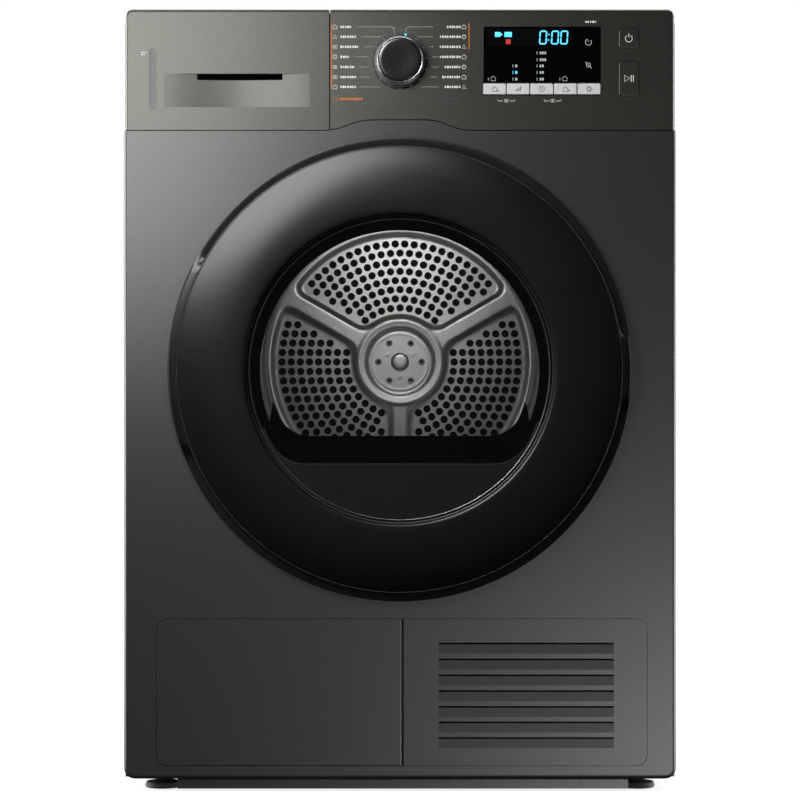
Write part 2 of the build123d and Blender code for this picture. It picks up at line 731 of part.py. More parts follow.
def bowl_face(p, radius, chord_z, corner):
    """A round outline cut flat below, at p in front of the front panel."""
    with BuildSketch(proud(p)) as outline:
        with Locations((DOOR_X, DOOR_Z)):
            Circle(radius)
        with Locations((DOOR_X, chord_z - 150)):
            Rectangle(2 * radius, 300, mode=Mode.SUBTRACT)
        fillet(outline.vertices(), radius=corner)
    return outline.sketch


bowl_outer_ends = (
    bowl_face(BOWL_FRONT - 4, BOWL_MOUTH_R, CHORD_Z, CHORD_CORNER_R),
    bowl_face(BOWL_REAR, BOWL_END_R, CHORD_Z + CHORD_RISE, CHORD_CORNER_R),
)
bowl_inner_ends = (
    bowl_face(BOWL_FRONT - 4, BOWL_MOUTH_R - BOWL_T, CHORD_Z + BOWL_T, CHORD_CORNER_R - BOWL_T),
    bowl_face(
        BOWL_REAR + BOWL_T,
        BOWL_END_R - BOWL_T,
        CHORD_Z + CHORD_RISE + BOWL_T,
        CHORD_CORNER_R - BOWL_T,
    ),
)

with BuildPart() as door_bowl:
    add(bowl_outer_ends[0])
    add(bowl_outer_ends[1])
    loft()
    with BuildSketch(proud(BOWL_FRONT - 4)):
        with Locations((DOOR_X, DOOR_Z)):
            Circle(BOWL_MOUTH_R + 8)
    extrude(amount=4)
    add(bowl_inner_ends[0])
    add(bowl_inner_ends[1])
    loft(mode=Mode.SUBTRACT)
    extrude(bowl_inner_ends[0], amount=4.05, both=True, mode=Mode.SUBTRACT)
save(door_bowl.part, "door_bowl")

with BuildPart() as door_window:
    with BuildSketch(proud(PANE_BACK)):
        with Locations((DOOR_X, DOOR_Z)):
            Circle(DOOR_WINDOW_R)
    extrude(amount=PANE_T)
save(door_window.part, "door_window")

plate_cut = bowl_face(0, BOWL_MOUTH_R - BOWL_T, CHORD_Z + BOWL_T + 2.4, 41)

with BuildPart() as door_lower_plate:
    with BuildSketch(proud(BOWL_FRONT)) as plate_outline:
        with Locations((DOOR_X, DOOR_Z)):
            Circle(DOOR_WINDOW_R - 0.5)
        add(plate_cut, mode=Mode.SUBTRACT)
    extrude(amount=PANE_BACK - BOWL_FRONT)
    # Opaque shelf lying on the flat floor of the bowl, just behind the plate
    with BuildSketch(Plane.YZ):
        with BuildLine():
            Polyline(
                (FRONT_Y - BOWL_FRONT + 1, CHORD_Z + BOWL_T + 0.8),
                (FRONT_Y - BOWL_REAR - 6, CHORD_Z + BOWL_T + CHORD_RISE + 0.4),
                (FRONT_Y - BOWL_REAR - 6, CHORD_Z + BOWL_T + CHORD_RISE + 2.4),
                (FRONT_Y - BOWL_FRONT + 1, CHORD_Z + BOWL_T + 2.8),
                close=True,
            )
        make_face()
    extrude(amount=SHELF_HALF_W, both=True)
save(door_lower_plate.part, "door_lower_plate")

with BuildPart() as latch_hook:
    block((LATCH_X - 7, LATCH_X + 7), (FRONT_Y - 4, FRONT_Y - 2), (DOOR_Z - 11, DOOR_Z + 11))
    block((LATCH_X - 3, LATCH_X + 3), (FRONT_Y - 2, FRONT_Y + 14), (DOOR_Z - 9, DOOR_Z + 9))
    block((LATCH_X - 6, LATCH_X + 3), (FRONT_Y + 10, FRONT_Y + 14), (DOOR_Z - 9, DOOR_Z + 9))
save(latch_hook.part, "latch_hook")

with BuildPart() as latch_catch:
    catch_y = (FRONT_Y + PANEL_T, FRONT_Y + 19)
    block((LATCH_X - 16, LATCH_X + 16), catch_y, (DOOR_Z - 20, DOOR_Z + 20))
    block(
        (LATCH_X - 12, LATCH_X + 9),
        (catch_y[0], catch_y[1] - 2),
        (DOOR_Z - 12, DOOR_Z + 12),
        mode=Mode.SUBTRACT,
    )
save(latch_catch.part, "latch_catch")

HINGE_Y = FRONT_Y - HINGE_PROUD


def upright(radius, z, mode=Mode.ADD):
    """A vertical cylinder on the door hinge's axis."""
    with Locations((HINGE_X, HINGE_Y, centre(z))):
        Cylinder(radius=radius, height=z[1] - z[0], mode=mode)


with BuildPart() as hinge_bracket:
    block((205, 241.5), (FRONT_Y - 2, FRONT_Y), (KNUCKLE_Z[0] - 1, KNUCKLE_Z[3] + 1))
    for z in (KNUCKLE_Z[:2], KNUCKLE_Z[2:]):
        with BuildSketch(Plane.XY.offset(z[0])):
            with BuildLine():
                Polyline(
                    (HINGE_X - KNUCKLE_R + 0.1, HINGE_Y),
                    (HINGE_X - 0.6, HINGE_Y + 3.0),
                    (HINGE_X - 5, HINGE_Y + 7.2),
                    (HINGE_X - 11, HINGE_Y + 7.2),
                    close=True,
                )
            make_face()
        extrude(amount=z[1] - z[0])
        upright(KNUCKLE_R, z)
    upright(PIN_R, (KNUCKLE_Z[0], KNUCKLE_Z[3]))
save(hinge_bracket.part, "hinge_bracket")

with BuildPart() as hinge_leaf:
    block((205, 239.5), (FRONT_Y - 4, FRONT_Y - 2.5), LEAF_Z)
    with BuildSketch(Plane.XY.offset(LEAF_Z[0])):
        with BuildLine():
            Polyline(
                (235.5, FRONT_Y - 2.5),
                (240.5, FRONT_Y - 2.5),
                (HINGE_X, HINGE_Y + KNUCKLE_R - 0.2),
                (HINGE_X - KNUCKLE_R + 0.2, HINGE_Y),
                (235.5, FRONT_Y - 4),
                close=True,
            )
        make_face()
    extrude(amount=LEAF_Z[1] - LEAF_Z[0])
    upright(KNUCKLE_R, LEAF_Z)
    upright(PIN_R + PIN_CLEAR, LEAF_Z, mode=Mode.SUBTRACT)
save(hinge_leaf.part, "hinge_leaf")

with BuildPart() as door_gasket:
    with BuildSketch(proud(0)):
        with Locations((DOOR_X, DOOR_Z)):
            Circle(188)
            Circle(181, mode=Mode.SUBTRACT)
    extrude(amount=3.4)
    fillet(door_gasket.edges().group_by(Axis.Y)[0], radius=1.5)
save(door_gasket.part, "door_gasket")

# ---------------------------------------------------------------- bulkhead and filter

BULKHEAD_Y = (FRONT_Y + PANEL_RETURN, FRONT_Y + PANEL_RETURN + 4)
TUNNEL_Y = (FRONT_Y + 1.0, -216.0)
SILL_Z = 332.0
SILL_SLOPE = 0.24
FILTER_X = 110.0
FILTER_Y = (-252.0, -228.0)
FILTER_BOTTOM_Z = 236.0
ROLLER_REACH = DRUM_R + RUN_GAP + ROLLER_R
ROLLER_X = ROLLER_REACH * math.sin(math.radians(ROLLER_ANGLE))
ROLLER_Z = DRUM_Z - ROLLER_REACH * math.cos(math.radians(ROLLER_ANGLE))

with BuildPart() as sill_wedge:
    with BuildSketch(Plane.YZ):
        with BuildLine():
            Polyline(
                (-300, SILL_Z - 18 * SILL_SLOPE),
                (-200, SILL_Z + 82 * SILL_SLOPE),
                (-200, 900),
                (-300, 900),
                close=True,
            )
        make_face()
    extrude(amount=WIDTH / 2, both=True)
    with BuildSketch(facing(-300)):
        with Locations((DOOR_X, DOOR_Z)):
            Circle(MOUTH_R)
    extrude(amount=-200, mode=Mode.INTERSECT)

with BuildPart() as front_bulkhead:
    block((-278, 278), BULKHEAD_Y, (196, 714))
    rod(DOOR_X, DOOR_Z, MOUTH_R + TUNNEL_T, TUNNEL_Y)
    rod(0, DRUM_Z, 232, (BULKHEAD_Y[1], -208))
    rod(0, DRUM_Z, 226, (BULKHEAD_Y[1], -200), mode=Mode.SUBTRACT)
    rod(DOOR_X, DOOR_Z, MOUTH_R + TUNNEL_T, TUNNEL_Y)
    block((-118, 118), (BULKHEAD_Y[0], TUNNEL_Y[1]), (224, 330))
    add(sill_wedge.part, mode=Mode.SUBTRACT)
    block((-FILTER_X - 1, FILTER_X + 1), (-253, -227), (232, 400), mode=Mode.SUBTRACT)
    for x in (-ROLLER_X, ROLLER_X):
        rod(x, ROLLER_Z, 9, (BULKHEAD_Y[1], ROLLER_DEPTH[0] - 3))
save(front_bulkhead.part, "front_bulkhead")

with BuildPart() as lint_filter:
    with BuildSketch(Plane.YZ):
        with BuildLine():
            Polyline(
                (FILTER_Y[0], FILTER_BOTTOM_Z),
                (FILTER_Y[1], FILTER_BOTTOM_Z),
                (FILTER_Y[1], SILL_Z - 1 + SILL_SLOPE * (FILTER_Y[1] - FRONT_Y)),
                (FILTER_Y[0], SILL_Z - 1 + SILL_SLOPE * (FILTER_Y[0] - FRONT_Y)),
                close=True,
            )
        make_face()
    extrude(amount=FILTER_X, both=True)
    block((-50, 50), (FILTER_Y[0] + 3, FILTER_Y[1] - 3), (318, 360), mode=Mode.SUBTRACT)
    for i in range(4):
        x = -FILTER_X + 6 + i * 52
        block((x, x + 46), (FILTER_Y[0] + 2, FILTER_Y[1] + 1), (242, 310), mode=Mode.SUBTRACT)
save(lint_filter.part, "lint_filter")

# ---------------------------------------------------------------- drum

drum_plane = Plane(origin=(0, 0, DRUM_Z), x_dir=(1, 0, 0), z_dir=(0, 0, -1))
drum_axis = Axis((0, 0, DRUM_Z), (0, 1, 0))

with BuildPart() as drum_shell:
    with BuildSketch(drum_plane):
        with BuildLine():
            Polyline(
                (DRUM_LIP_R, -DRUM_FRONT_Y),
                (DRUM_R, -DRUM_FRONT_Y),
                (DRUM_R, -DRUM_BACK_Y),
                (DRUM_R - DRUM_T, -DRUM_BACK_Y),
                (DRUM_R - DRUM_T, -DRUM_FRONT_Y - DRUM_T),
                (DRUM_LIP_R, -DRUM_FRONT_Y - DRUM_T),
                close=True,
            )
        make_face()
    revolve(axis=drum_axis)
save(drum_shell.part, "drum_shell")

DISH_Y = DRUM_BACK_Y - SHEET_T

with BuildSketch() as sectors:
    Circle(SECTOR_R[1])
    Circle(SECTOR_R[0], mode=Mode.SUBTRACT)
    for angle in ARM_ANGLES:
        with Locations(Location((0, 0, 0), (0, 0, angle))):
            with Locations((90, 0)):
                Rectangle(180, ARM_W, mode=Mode.SUBTRACT)
    fillet(sectors.vertices(), radius=9)


sector_rims = offset(sectors.sketch, amount=SHEET_T)


def off_arms(x, z):
    """How far a point is from the nearest arm's middle line."""
    gaps = []
    for angle in ARM_ANGLES:
        a = math.radians(angle)
        along = x * math.cos(a) + z * math.sin(a)
        across = abs(-x * math.sin(a) + z * math.cos(a))
        gaps.append(across if along > 0 else math.hypot(x, z))
    return min(gaps)


hole_places = []
for row in range(HOLE_ROWS):
    row_r = HOLE_FIRST_R + row * (HOLE_LAST_R - HOLE_FIRST_R) / (HOLE_ROWS - 1)
    count = 3 * round(2 * math.pi * row_r / 12.3 / 3)
    for k in range(count):
        turn = 2 * math.pi * (k + 0.5 * (row % 2)) / count + math.pi / 2
        spot = (row_r * math.cos(turn), row_r * math.sin(turn))
        if off_arms(*spot) > ARM_W / 2 + HOLE_R + 2.0:
            hole_places.append(spot)

with BuildPart() as drum_rear_wall:
    rod(0, DRUM_Z, DRUM_R - DRUM_T, (DISH_Y, DRUM_BACK_Y))
    rod(0, DRUM_Z, DISH_R, (DISH_Y, DISH_Y + DISH_DEPTH))
    with BuildSketch(facing(DISH_Y)):
        with Locations((0, DRUM_Z)):
            add(sectors.sketch)
    extrude(amount=-(DISH_DEPTH - SHEET_T), mode=Mode.SUBTRACT)
    with BuildSketch(facing(DRUM_BACK_Y)):
        with Locations((0, DRUM_Z)):
            Circle(DISH_R - SHEET_T)
            add(sector_rims, mode=Mode.SUBTRACT)
            Circle(40, mode=Mode.SUBTRACT)
    extrude(amount=-DISH_DEPTH, mode=Mode.SUBTRACT)
    with BuildSketch(facing(DISH_Y)):
        with Locations((0, DRUM_Z)):
            with Locations(hole_places):
                Circle(HOLE_R)
    extrude(amount=-(DISH_DEPTH + 1), mode=Mode.SUBTRACT)
    # Pressed ridge round the hub
    with BuildSketch(facing(DISH_Y)):
        with Locations((0, DRUM_Z)):
            Circle(55)
            Circle(50, mode=Mode.SUBTRACT)
    extrude(amount=2)
    rod(0, DRUM_Z, SHAFT_R, (DISH_Y, DISH_Y + DISH_DEPTH), mode=Mode.SUBTRACT)
save(drum_rear_wall.part, "drum_rear_wall")

with BuildPart() as hub_screws:
    with BuildSketch(facing(DISH_Y)):
        with Locations((0, DRUM_Z)):
            with PolarLocations(HUB_SCREW_R, 6):
                RegularPolygon(radius=4.6, side_count=6)
    extrude(amount=3.2)
save(hub_screws.part, "hub_screws")

with BuildPart() as drum_shaft:
    rod(0, DRUM_Z, SHAFT_R, (DISH_Y - 4, 290))
    fillet(drum_shaft.edges().group_by(Axis.Y)[0], radius=3)
    rod(0, DRUM_Z, 26, (DISH_Y + DISH_DEPTH, DISH_Y + DISH_DEPTH + 5))
save(drum_shaft.part, "drum_shaft")

LIFTER_OUTLINE = ((222, -9), (228, -14), (290, -32), (290, 32), (228, 14), (222, 9))

with BuildPart() as drum_lifters:
    for angle in (90.0, 210.0, 330.0):
        with BuildSketch(facing(-150)):
            with Locations(Location((0, DRUM_Z), angle)):
                Polygon(*LIFTER_OUTLINE, align=None)
            with Locations((0, DRUM_Z)):
                Circle(DRUM_R - DRUM_T, mode=Mode.INTERSECT)
        extrude(amount=-350)
save(drum_lifters.part, "drum_lifters")

with BuildPart() as drum_bearing:
    rod(0, DRUM_Z, 30, (262, BACK_Y - 2))
    rod(0, DRUM_Z, 60, (BACK_Y - 6, BACK_Y - 2))
    rod(0, DRUM_Z, SHAFT_R + SHAFT_CLEAR, (262, 292), mode=Mode.SUBTRACT)
save(drum_bearing.part, "drum_bearing")

with BuildPart() as roller_axles:
    for x in (-ROLLER_X, ROLLER_X):
        rod(x, ROLLER_Z, AXLE_R, (ROLLER_DEPTH[0] - 3, ROLLER_DEPTH[1] + 3))
save(roller_axles.part, "roller_axles")

for hand, x in (("left", -ROLLER_X), ("right", ROLLER_X)):
    with BuildPart() as roller:
        rod(x, ROLLER_Z, ROLLER_R, ROLLER_DEPTH)
        rod(x, ROLLER_Z, AXLE_R + PIN_CLEAR, ROLLER_DEPTH, mode=Mode.SUBTRACT)
        with BuildSketch(facing(ROLLER_DEPTH[0])):
            with Locations((x, ROLLER_Z)):
                with PolarLocations(12, 5):
                    Circle(2.6)
        extrude(amount=-(ROLLER_DEPTH[1] - ROLLER_DEPTH[0]), mode=Mode.SUBTRACT)
    save(roller.part, f"{hand}_drum_roller")

# ---------------------------------------------------------------- drive

with BuildPart() as motor_body:
    rod(MOTOR_X, MOTOR_Z, MOTOR_R, MOTOR_Y)
    rod(MOTOR_X, MOTOR_Z, MOTOR_R - 6, (MOTOR_Y[0] + 6, MOTOR_Y[1] - 6), mode=Mode.SUBTRACT)
    rod(MOTOR_X, MOTOR_Z, 6.06, (MOTOR_Y[0] - 1, MOTOR_Y[1] + 1), mode=Mode.SUBTRACT)
    for y in (MOTOR_Y[0] + 10, MOTOR_Y[1] - 22):
        block((MOTOR_X - 46, MOTOR_X + 46), (y, y + 12), (BASE_FLOOR_Z + BASE_T, MOTOR_Z - 40))
    for i in range(10):
        y = MOTOR_Y[0] + 26 + i * 11
        with BuildSketch(facing(y)):
            with Locations((MOTOR_X, MOTOR_Z)):
                Circle(MOTOR_R + 4)
                Circle(MOTOR_R - 1, mode=Mode.SUBTRACT)
        extrude(amount=-3)
save(motor_body.part, "motor_body")

with BuildPart() as motor_rotor:
    rod(MOTOR_X, MOTOR_Z, 6, (BELT_Y[0] - 6, FAN_Y[1] - 10))
    rod(MOTOR_X, MOTOR_Z, 36, (MOTOR_Y[0] + 20, MOTOR_Y[1] - 20))
    rod(MOTOR_X, MOTOR_Z, PULLEY_R, (BELT_Y[0] - 3, BELT_Y[1] + 3))
save(motor_rotor.part, "motor_rotor")

with BuildPart() as blower_fan:
    rod(MOTOR_X, MOTOR_Z, FAN_R, (FAN_Y[0], FAN_Y[0] + 3))
    rod(MOTOR_X, MOTOR_Z, 16, FAN_Y)
    with BuildSketch(facing(FAN_Y[0])):
        with Locations((MOTOR_X, MOTOR_Z)):
            with PolarLocations(55, 16):
                Rectangle(34, 3, rotation=30)
    extrude(amount=-(FAN_Y[1] - FAN_Y[0]))
    rod(MOTOR_X, MOTOR_Z, 6, (FAN_Y[0], FAN_Y[1] - 10), mode=Mode.SUBTRACT)
save(blower_fan.part, "blower_fan")

with BuildPart() as blower_housing:
    rod(MOTOR_X, MOTOR_Z, BLOWER_R, BLOWER_Y)
    rod(MOTOR_X, MOTOR_Z, BLOWER_R - 3, (BLOWER_Y[0] + 3, BLOWER_Y[1] - 3), mode=Mode.SUBTRACT)
    rod(MOTOR_X, MOTOR_Z, 9, (BLOWER_Y[0] - 1, BLOWER_Y[0] + 5), mode=Mode.SUBTRACT)
    rod(MOTOR_X, MOTOR_Z, 40, (BLOWER_Y[1] - 5, BLOWER_Y[1] + 1), mode=Mode.SUBTRACT)
    block((MOTOR_X - 30, MOTOR_X + 30), BLOWER_Y, (BASE_FLOOR_Z + BASE_T, MOTOR_Z - BLOWER_R + 6))
    block(
        (MOTOR_X - 24, MOTOR_X + 24),
        (BLOWER_Y[0] + 3, BLOWER_Y[1] - 3),
        (60, 68),
        mode=Mode.SUBTRACT,
    )
save(blower_housing.part, "blower_housing")


def belt_loop(grow):
    """Outline of a loop round the drum and the motor pulley, grown outwards."""
    dx = MOTOR_X
    dz = MOTOR_Z - DRUM_Z
    span = math.hypot(dx, dz)
    lean = math.acos((DRUM_R - PULLEY_R) / span)
    aim = math.atan2(dz, dx)
    corners = []
    for turn in (aim + lean, aim - lean):
        unit = (math.cos(turn), math.sin(turn))
        corners.append((unit[0] * (DRUM_R + grow), DRUM_Z + unit[1] * (DRUM_R + grow)))
        corners.append(
            (MOTOR_X + unit[0] * (PULLEY_R + grow), MOTOR_Z + unit[1] * (PULLEY_R + grow))
        )
    with BuildSketch() as loop:
        with Locations((0, DRUM_Z)):
            Circle(DRUM_R + grow)
        with Locations((MOTOR_X, MOTOR_Z)):
            Circle(PULLEY_R + grow)
        Polygon(corners[0], corners[1], corners[3], corners[2], align=None)
    return loop.sketch


with BuildPart() as drive_belt:
    with BuildSketch(facing(BELT_Y[0])):
        add(belt_loop(RUN_GAP + BELT_T))
        add(belt_loop(RUN_GAP), mode=Mode.SUBTRACT)
    extrude(amount=-(BELT_Y[1] - BELT_Y[0]))
save(drive_belt.part, "drive_belt")

# ---------------------------------------------------------------- heat pump

EXCHANGER_X = (-240.0, -14.0)
EXCHANGER_Y = (-200.0, 30.0)
EXCHANGER_Z = (BASE_FLOOR_Z + BASE_T, 178.0)
FIN_COUNT = 38

with BuildPart() as heat_exchanger:
    block(EXCHANGER_X, EXCHANGER_Y, EXCHANGER_Z)
    fin_pitch = (EXCHANGER_X[1] - EXCHANGER_X[0] - 8) / FIN_COUNT
    for i in range(FIN_COUNT):
        x = EXCHANGER_X[0] + 5 + i * fin_pitch
        block(
            (x, x + fin_pitch - 1.4),
            (EXCHANGER_Y[0] - 1, EXCHANGER_Y[0] + 90),
            (EXCHANGER_Z[0] + 8, EXCHANGER_Z[1] - 6),
            mode=Mode.SUBTRACT,
        )
save(heat_exchanger.part, "heat_exchanger")

with BuildPart() as exchanger_cover:
    block((-245, -8), (-256, 60), (BASE_FLOOR_Z + BASE_T, 185))
    block((-241, -12), (-256, 56), (BASE_FLOOR_Z + BASE_T, 181), mode=Mode.SUBTRACT)
save(exchanger_cover.part, "exchanger_cover")

COMPRESSOR_X = 60.0
COMPRESSOR_Y = 60.0
COMPRESSOR_R = 48.0

with BuildPart() as compressor:
    with Locations((COMPRESSOR_X, COMPRESSOR_Y, 100)):
        Cylinder(radius=COMPRESSOR_R, height=150)
    fillet(compressor.edges().group_by(Axis.Z)[-1], radius=20)
    with Locations((COMPRESSOR_X, COMPRESSOR_Y, BASE_FLOOR_Z + BASE_T + 5)):
        Box(96, 96, 10)
save(compressor.part, "compressor")

with BuildPart() as refrigerant_pipes:
    for side, z in ((-1, 80.0), (1, 120.0)):
        with BuildLine() as run:
            FilletPolyline(
                (COMPRESSOR_X + side * 18, COMPRESSOR_Y + COMPRESSOR_R - 6, z),
                (COMPRESSOR_X + side * 18, COMPRESSOR_Y + 72, z),
                (-60 - side * 40, COMPRESSOR_Y + 72, z),
                (-60 - side * 40, 62, z),
                radius=12,
            )
        with BuildSketch(Plane(origin=run.line @ 0, z_dir=run.line % 0)):
            Circle(4)
        sweep()
    add(compressor.part, mode=Mode.SUBTRACT)
save(refrigerant_pipes.part, "refrigerant_pipes")
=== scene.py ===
import math

import bmesh
import bpy
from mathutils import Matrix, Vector

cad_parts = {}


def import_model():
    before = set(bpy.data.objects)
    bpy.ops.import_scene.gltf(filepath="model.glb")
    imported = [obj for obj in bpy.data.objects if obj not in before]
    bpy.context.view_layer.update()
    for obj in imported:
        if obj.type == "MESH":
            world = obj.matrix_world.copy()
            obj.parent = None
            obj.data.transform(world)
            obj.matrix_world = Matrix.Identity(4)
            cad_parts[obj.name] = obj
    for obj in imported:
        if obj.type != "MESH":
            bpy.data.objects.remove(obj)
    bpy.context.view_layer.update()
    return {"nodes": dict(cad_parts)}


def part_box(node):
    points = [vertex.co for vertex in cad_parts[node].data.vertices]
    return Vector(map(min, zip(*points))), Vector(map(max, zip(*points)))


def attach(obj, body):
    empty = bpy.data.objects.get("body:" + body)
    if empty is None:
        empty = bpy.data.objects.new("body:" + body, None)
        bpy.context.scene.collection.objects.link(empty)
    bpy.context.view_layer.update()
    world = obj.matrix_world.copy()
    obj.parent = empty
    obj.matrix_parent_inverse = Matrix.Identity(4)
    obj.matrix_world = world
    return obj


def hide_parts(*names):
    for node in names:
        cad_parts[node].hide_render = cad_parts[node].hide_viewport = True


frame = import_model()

MM = 0.001
NODES = frame["nodes"]
SCENE = bpy.context.scene

# ------------------------------------------------ places and sizes, in millimetres and degrees
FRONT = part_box("front_panel")[0][1] / MM
DOOR_X, DOOR_Z = -0.5, 458.4
DOOR_CENTRE = (DOOR_X, FRONT, DOOR_Z)
DOOR_BACK, DOOR_CREST = 4.0, 36.0
RING_R, SKIRT_R, FINE_R, WINDOW_R = 251.0, 247.0, 240.0, 166.0
NOTCH_ANGLE, NOTCH_TOP = 7.0, 12.9
GRIP_ANGLES = (150.0, 203.0)
EASE_ANGLE = 4.0
SHELL_BACK = 6.2
DRUM_Z = 474.0
DISH_Y = 238.0
SECTOR_R = (62.0, 158.0)
ARM_W = 31.0
ARM_ANGLES = (30.0, 150.0, 270.0)
KNOB_Z = 793.0
DECAL_T, DECAL_SINK = 0.25, 0.05
SHARP_ANGLE = 35


# ------------------------------------------------------------------ materials
def shader(name, color, metallic=0.0, roughness=0.5):
    """A new Principled material, with the values that are the same all over it."""
    material = bpy.data.materials.new(name)
    material.use_nodes = True
    node = material.node_tree.nodes["Principled BSDF"]
    node.inputs["Base Color"].default_value = (*color, 1)
    node.inputs["Metallic"].default_value = metallic
    node.inputs["Roughness"].default_value = roughness
    return material, node


def add_node(material, kind, **values):
    """A node with its attributes set."""
    node = material.node_tree.nodes.new(kind)
    for key, value in values.items():
        setattr(node, key, value)
    return node


def grain(material, node, color, spread, scale, bump=0.0, rough=None, stretch=(1, 1, 1), detail=4.0):
    """Noise in object space that varies colour, and if asked roughness and height."""
    tree = material.node_tree
    where = add_node(material, "ShaderNodeTexCoord")
    mapping = add_node(material, "ShaderNodeMapping")
    mapping.inputs["Scale"].default_value = stretch
    noise = add_node(material, "ShaderNodeTexNoise")
    noise.inputs["Scale"].default_value = scale
    noise.inputs["Detail"].default_value = detail
    noise.inputs["Roughness"].default_value = 0.65
    tree.links.new(where.outputs["Object"], mapping.inputs["Vector"])
    tree.links.new(mapping.outputs["Vector"], noise.inputs["Vector"])
    ramp = add_node(material, "ShaderNodeValToRGB")
    low, high = ramp.color_ramp.elements
    low.position, high.position = 0.3, 0.7
    low.color = (*(c * (1 - spread) for c in color), 1)
    high.color = (*(min(1, c * (1 + spread)) for c in color), 1)
    tree.links.new(noise.outputs["Fac"], ramp.inputs["Fac"])
    tree.links.new(ramp.outputs["Color"], node.inputs["Base Color"])
    if rough:
        spread_map = add_node(material, "ShaderNodeMapRange")
        spread_map.inputs["To Min"].default_value = rough[0]
        spread_map.inputs["To Max"].default_value = rough[1]
        tree.links.new(noise.outputs["Fac"], spread_map.inputs["Value"])
        tree.links.new(spread_map.outputs["Result"], node.inputs["Roughness"])
    if bump:
        height = add_node(material, "ShaderNodeBump")
        height.inputs["Strength"].default_value = 1.0
        height.inputs["Distance"].default_value = bump * MM
        tree.links.new(noise.outputs["Fac"], height.inputs["Height"])
        tree.links.new(height.outputs["Normal"], node.inputs["Normal"])


def cabinet_paint():
    """Satin metallic paint with a fine grain."""
    color = (0.305, 0.298, 0.298)
    material, node = shader("cabinet_paint", color, metallic=0.85, roughness=0.40)
    grain(material, node, color, 0.10, 900, bump=0.010, rough=(0.37, 0.43))
    return material


def band_metal():
    """The control band's warmer satin metal, finely brushed sideways."""
    color = (0.30, 0.295, 0.268)
    material, node = shader("band_metal", color, metallic=0.85, roughness=0.4)
    grain(material, node, color, 0.08, 700, bump=0.005, rough=(0.37, 0.43), stretch=(0.3, 1, 1))
    return material


def plastic(name, color, roughness, spread=0.08, bump=0.02, scale=500):
    """Moulded plastic with a fine spark-eroded texture."""
    material, node = shader(name, color, roughness=roughness)
    grain(material, node, color, spread, scale, bump=bump, rough=(roughness - 0.05, roughness + 0.05))
    return material


def matt_black(name, color, shine=0.08):
    """Flock-like black that hardly shines even at a grazing view; most of its uses are painted shade.
    """
    material, node = shader(name, color, roughness=0.95)
    node.inputs["Specular IOR Level"].default_value = shine
    grain(material, node, color, 0.3, 300, bump=0.05)
    return material


def gloss(name, color, roughness=0.06, coat=1.0):
    """Black plastic, clear-coated if asked, whose roughness varies a little."""
    material, node = shader(name, color, roughness=roughness)
    node.inputs["Coat Weight"].default_value = coat
    node.inputs["Coat Roughness"].default_value = 0.03
    grain(material, node, color, 0.15, 30, rough=(roughness, roughness + 0.05))
    return material


def steel(name, color, roughness, scale=600, stretch=(1, 1, 1), bump=0.01):
    """Bare metal with rolling marks."""
    material, node = shader(name, color, metallic=1.0, roughness=roughness)
    grain(
        material, node, color, 0.12, scale, bump=bump,
        rough=(roughness - 0.06, roughness + 0.08), stretch=stretch,
    )
    return material


def spun_steel():
    """Stainless sheet turned about the drum's axis, with faint rings."""
    color = (0.62, 0.615, 0.60)
    material, node = shader("drum_steel", color, metallic=1.0, roughness=0.34)
    tree = material.node_tree
    where = add_node(material, "ShaderNodeTexCoord")
    parts = add_node(material, "ShaderNodeSeparateXYZ")
    lift = add_node(material, "ShaderNodeMath", operation="SUBTRACT")
    lift.inputs[1].default_value = DRUM_Z * MM
    flat = add_node(material, "ShaderNodeCombineXYZ")
    length = add_node(material, "ShaderNodeVectorMath", operation="LENGTH")
    rings = add_node(material, "ShaderNodeCombineXYZ")
    noise = add_node(material, "ShaderNodeTexNoise")
    noise.inputs["Scale"].default_value = 700
    noise.inputs["Detail"].default_value = 3
    ramp = add_node(material, "ShaderNodeValToRGB")
    low, high = ramp.color_ramp.elements
    low.position, high.position = 0.35, 0.65
    low.color = (0.54, 0.535, 0.52, 1)
    high.color = (0.70, 0.695, 0.68, 1)
    spread = add_node(material, "ShaderNodeMapRange")
    spread.inputs["To Min"].default_value = 0.28
    spread.inputs["To Max"].default_value = 0.44
    height = add_node(material, "ShaderNodeBump")
    height.inputs["Distance"].default_value = 0.01 * MM
    links = tree.links
    links.new(where.outputs["Object"], parts.inputs["Vector"])
    links.new(parts.outputs["Z"], lift.inputs[0])
    links.new(parts.outputs["X"], flat.inputs["X"])
    links.new(lift.outputs["Value"], flat.inputs["Y"])
    links.new(flat.outputs["Vector"], length.inputs[0])
    links.new(length.outputs["Value"], rings.inputs["X"])
    links.new(rings.outputs["Vector"], noise.inputs["Vector"])
    links.new(noise.outputs["Fac"], ramp.inputs["Fac"])
    links.new(ramp.outputs["Color"], node.inputs["Base Color"])
    links.new(noise.outputs["Fac"], spread.inputs["Value"])
    links.new(spread.outputs["Result"], node.inputs["Roughness"])
    links.new(noise.outputs["Fac"], height.inputs["Height"])
    links.new(height.outputs["Normal"], node.inputs["Normal"])
    return material


def see_through(name, color, alpha, roughness=0.02):
    """Glass as a thin sheet: a share of it lets what is behind through, the rest shines."""
    material, node = shader(name, color, roughness=roughness)
    node.inputs["Alpha"].default_value = alpha
    node.inputs["IOR"].default_value = 1.5
    node.inputs["Coat Weight"].default_value = 0.4
    material.surface_render_method = "BLENDED"
    return material


def ink(name, color, strength):
    """Print that also gives off light of its own, a painted glow, so it holds its tone where the metal
    round it is dark.
    """
    material = plastic(name, color, 0.6, bump=0.0)
    node = material.node_tree.nodes["Principled BSDF"]
    # Painted glow: the print gives off light of its own.
    node.inputs["Emission Color"].default_value = (*color, 1)
    node.inputs["Emission Strength"].default_value = strength
    return material


def glow(name, color, strength):
    """A lit display segment."""
    material, node = shader(name, tuple(c * 0.3 for c in color), roughness=0.4)
    node.inputs["Emission Color"].default_value = (*color, 1)
    node.inputs["Emission Strength"].default_value = strength
    return material


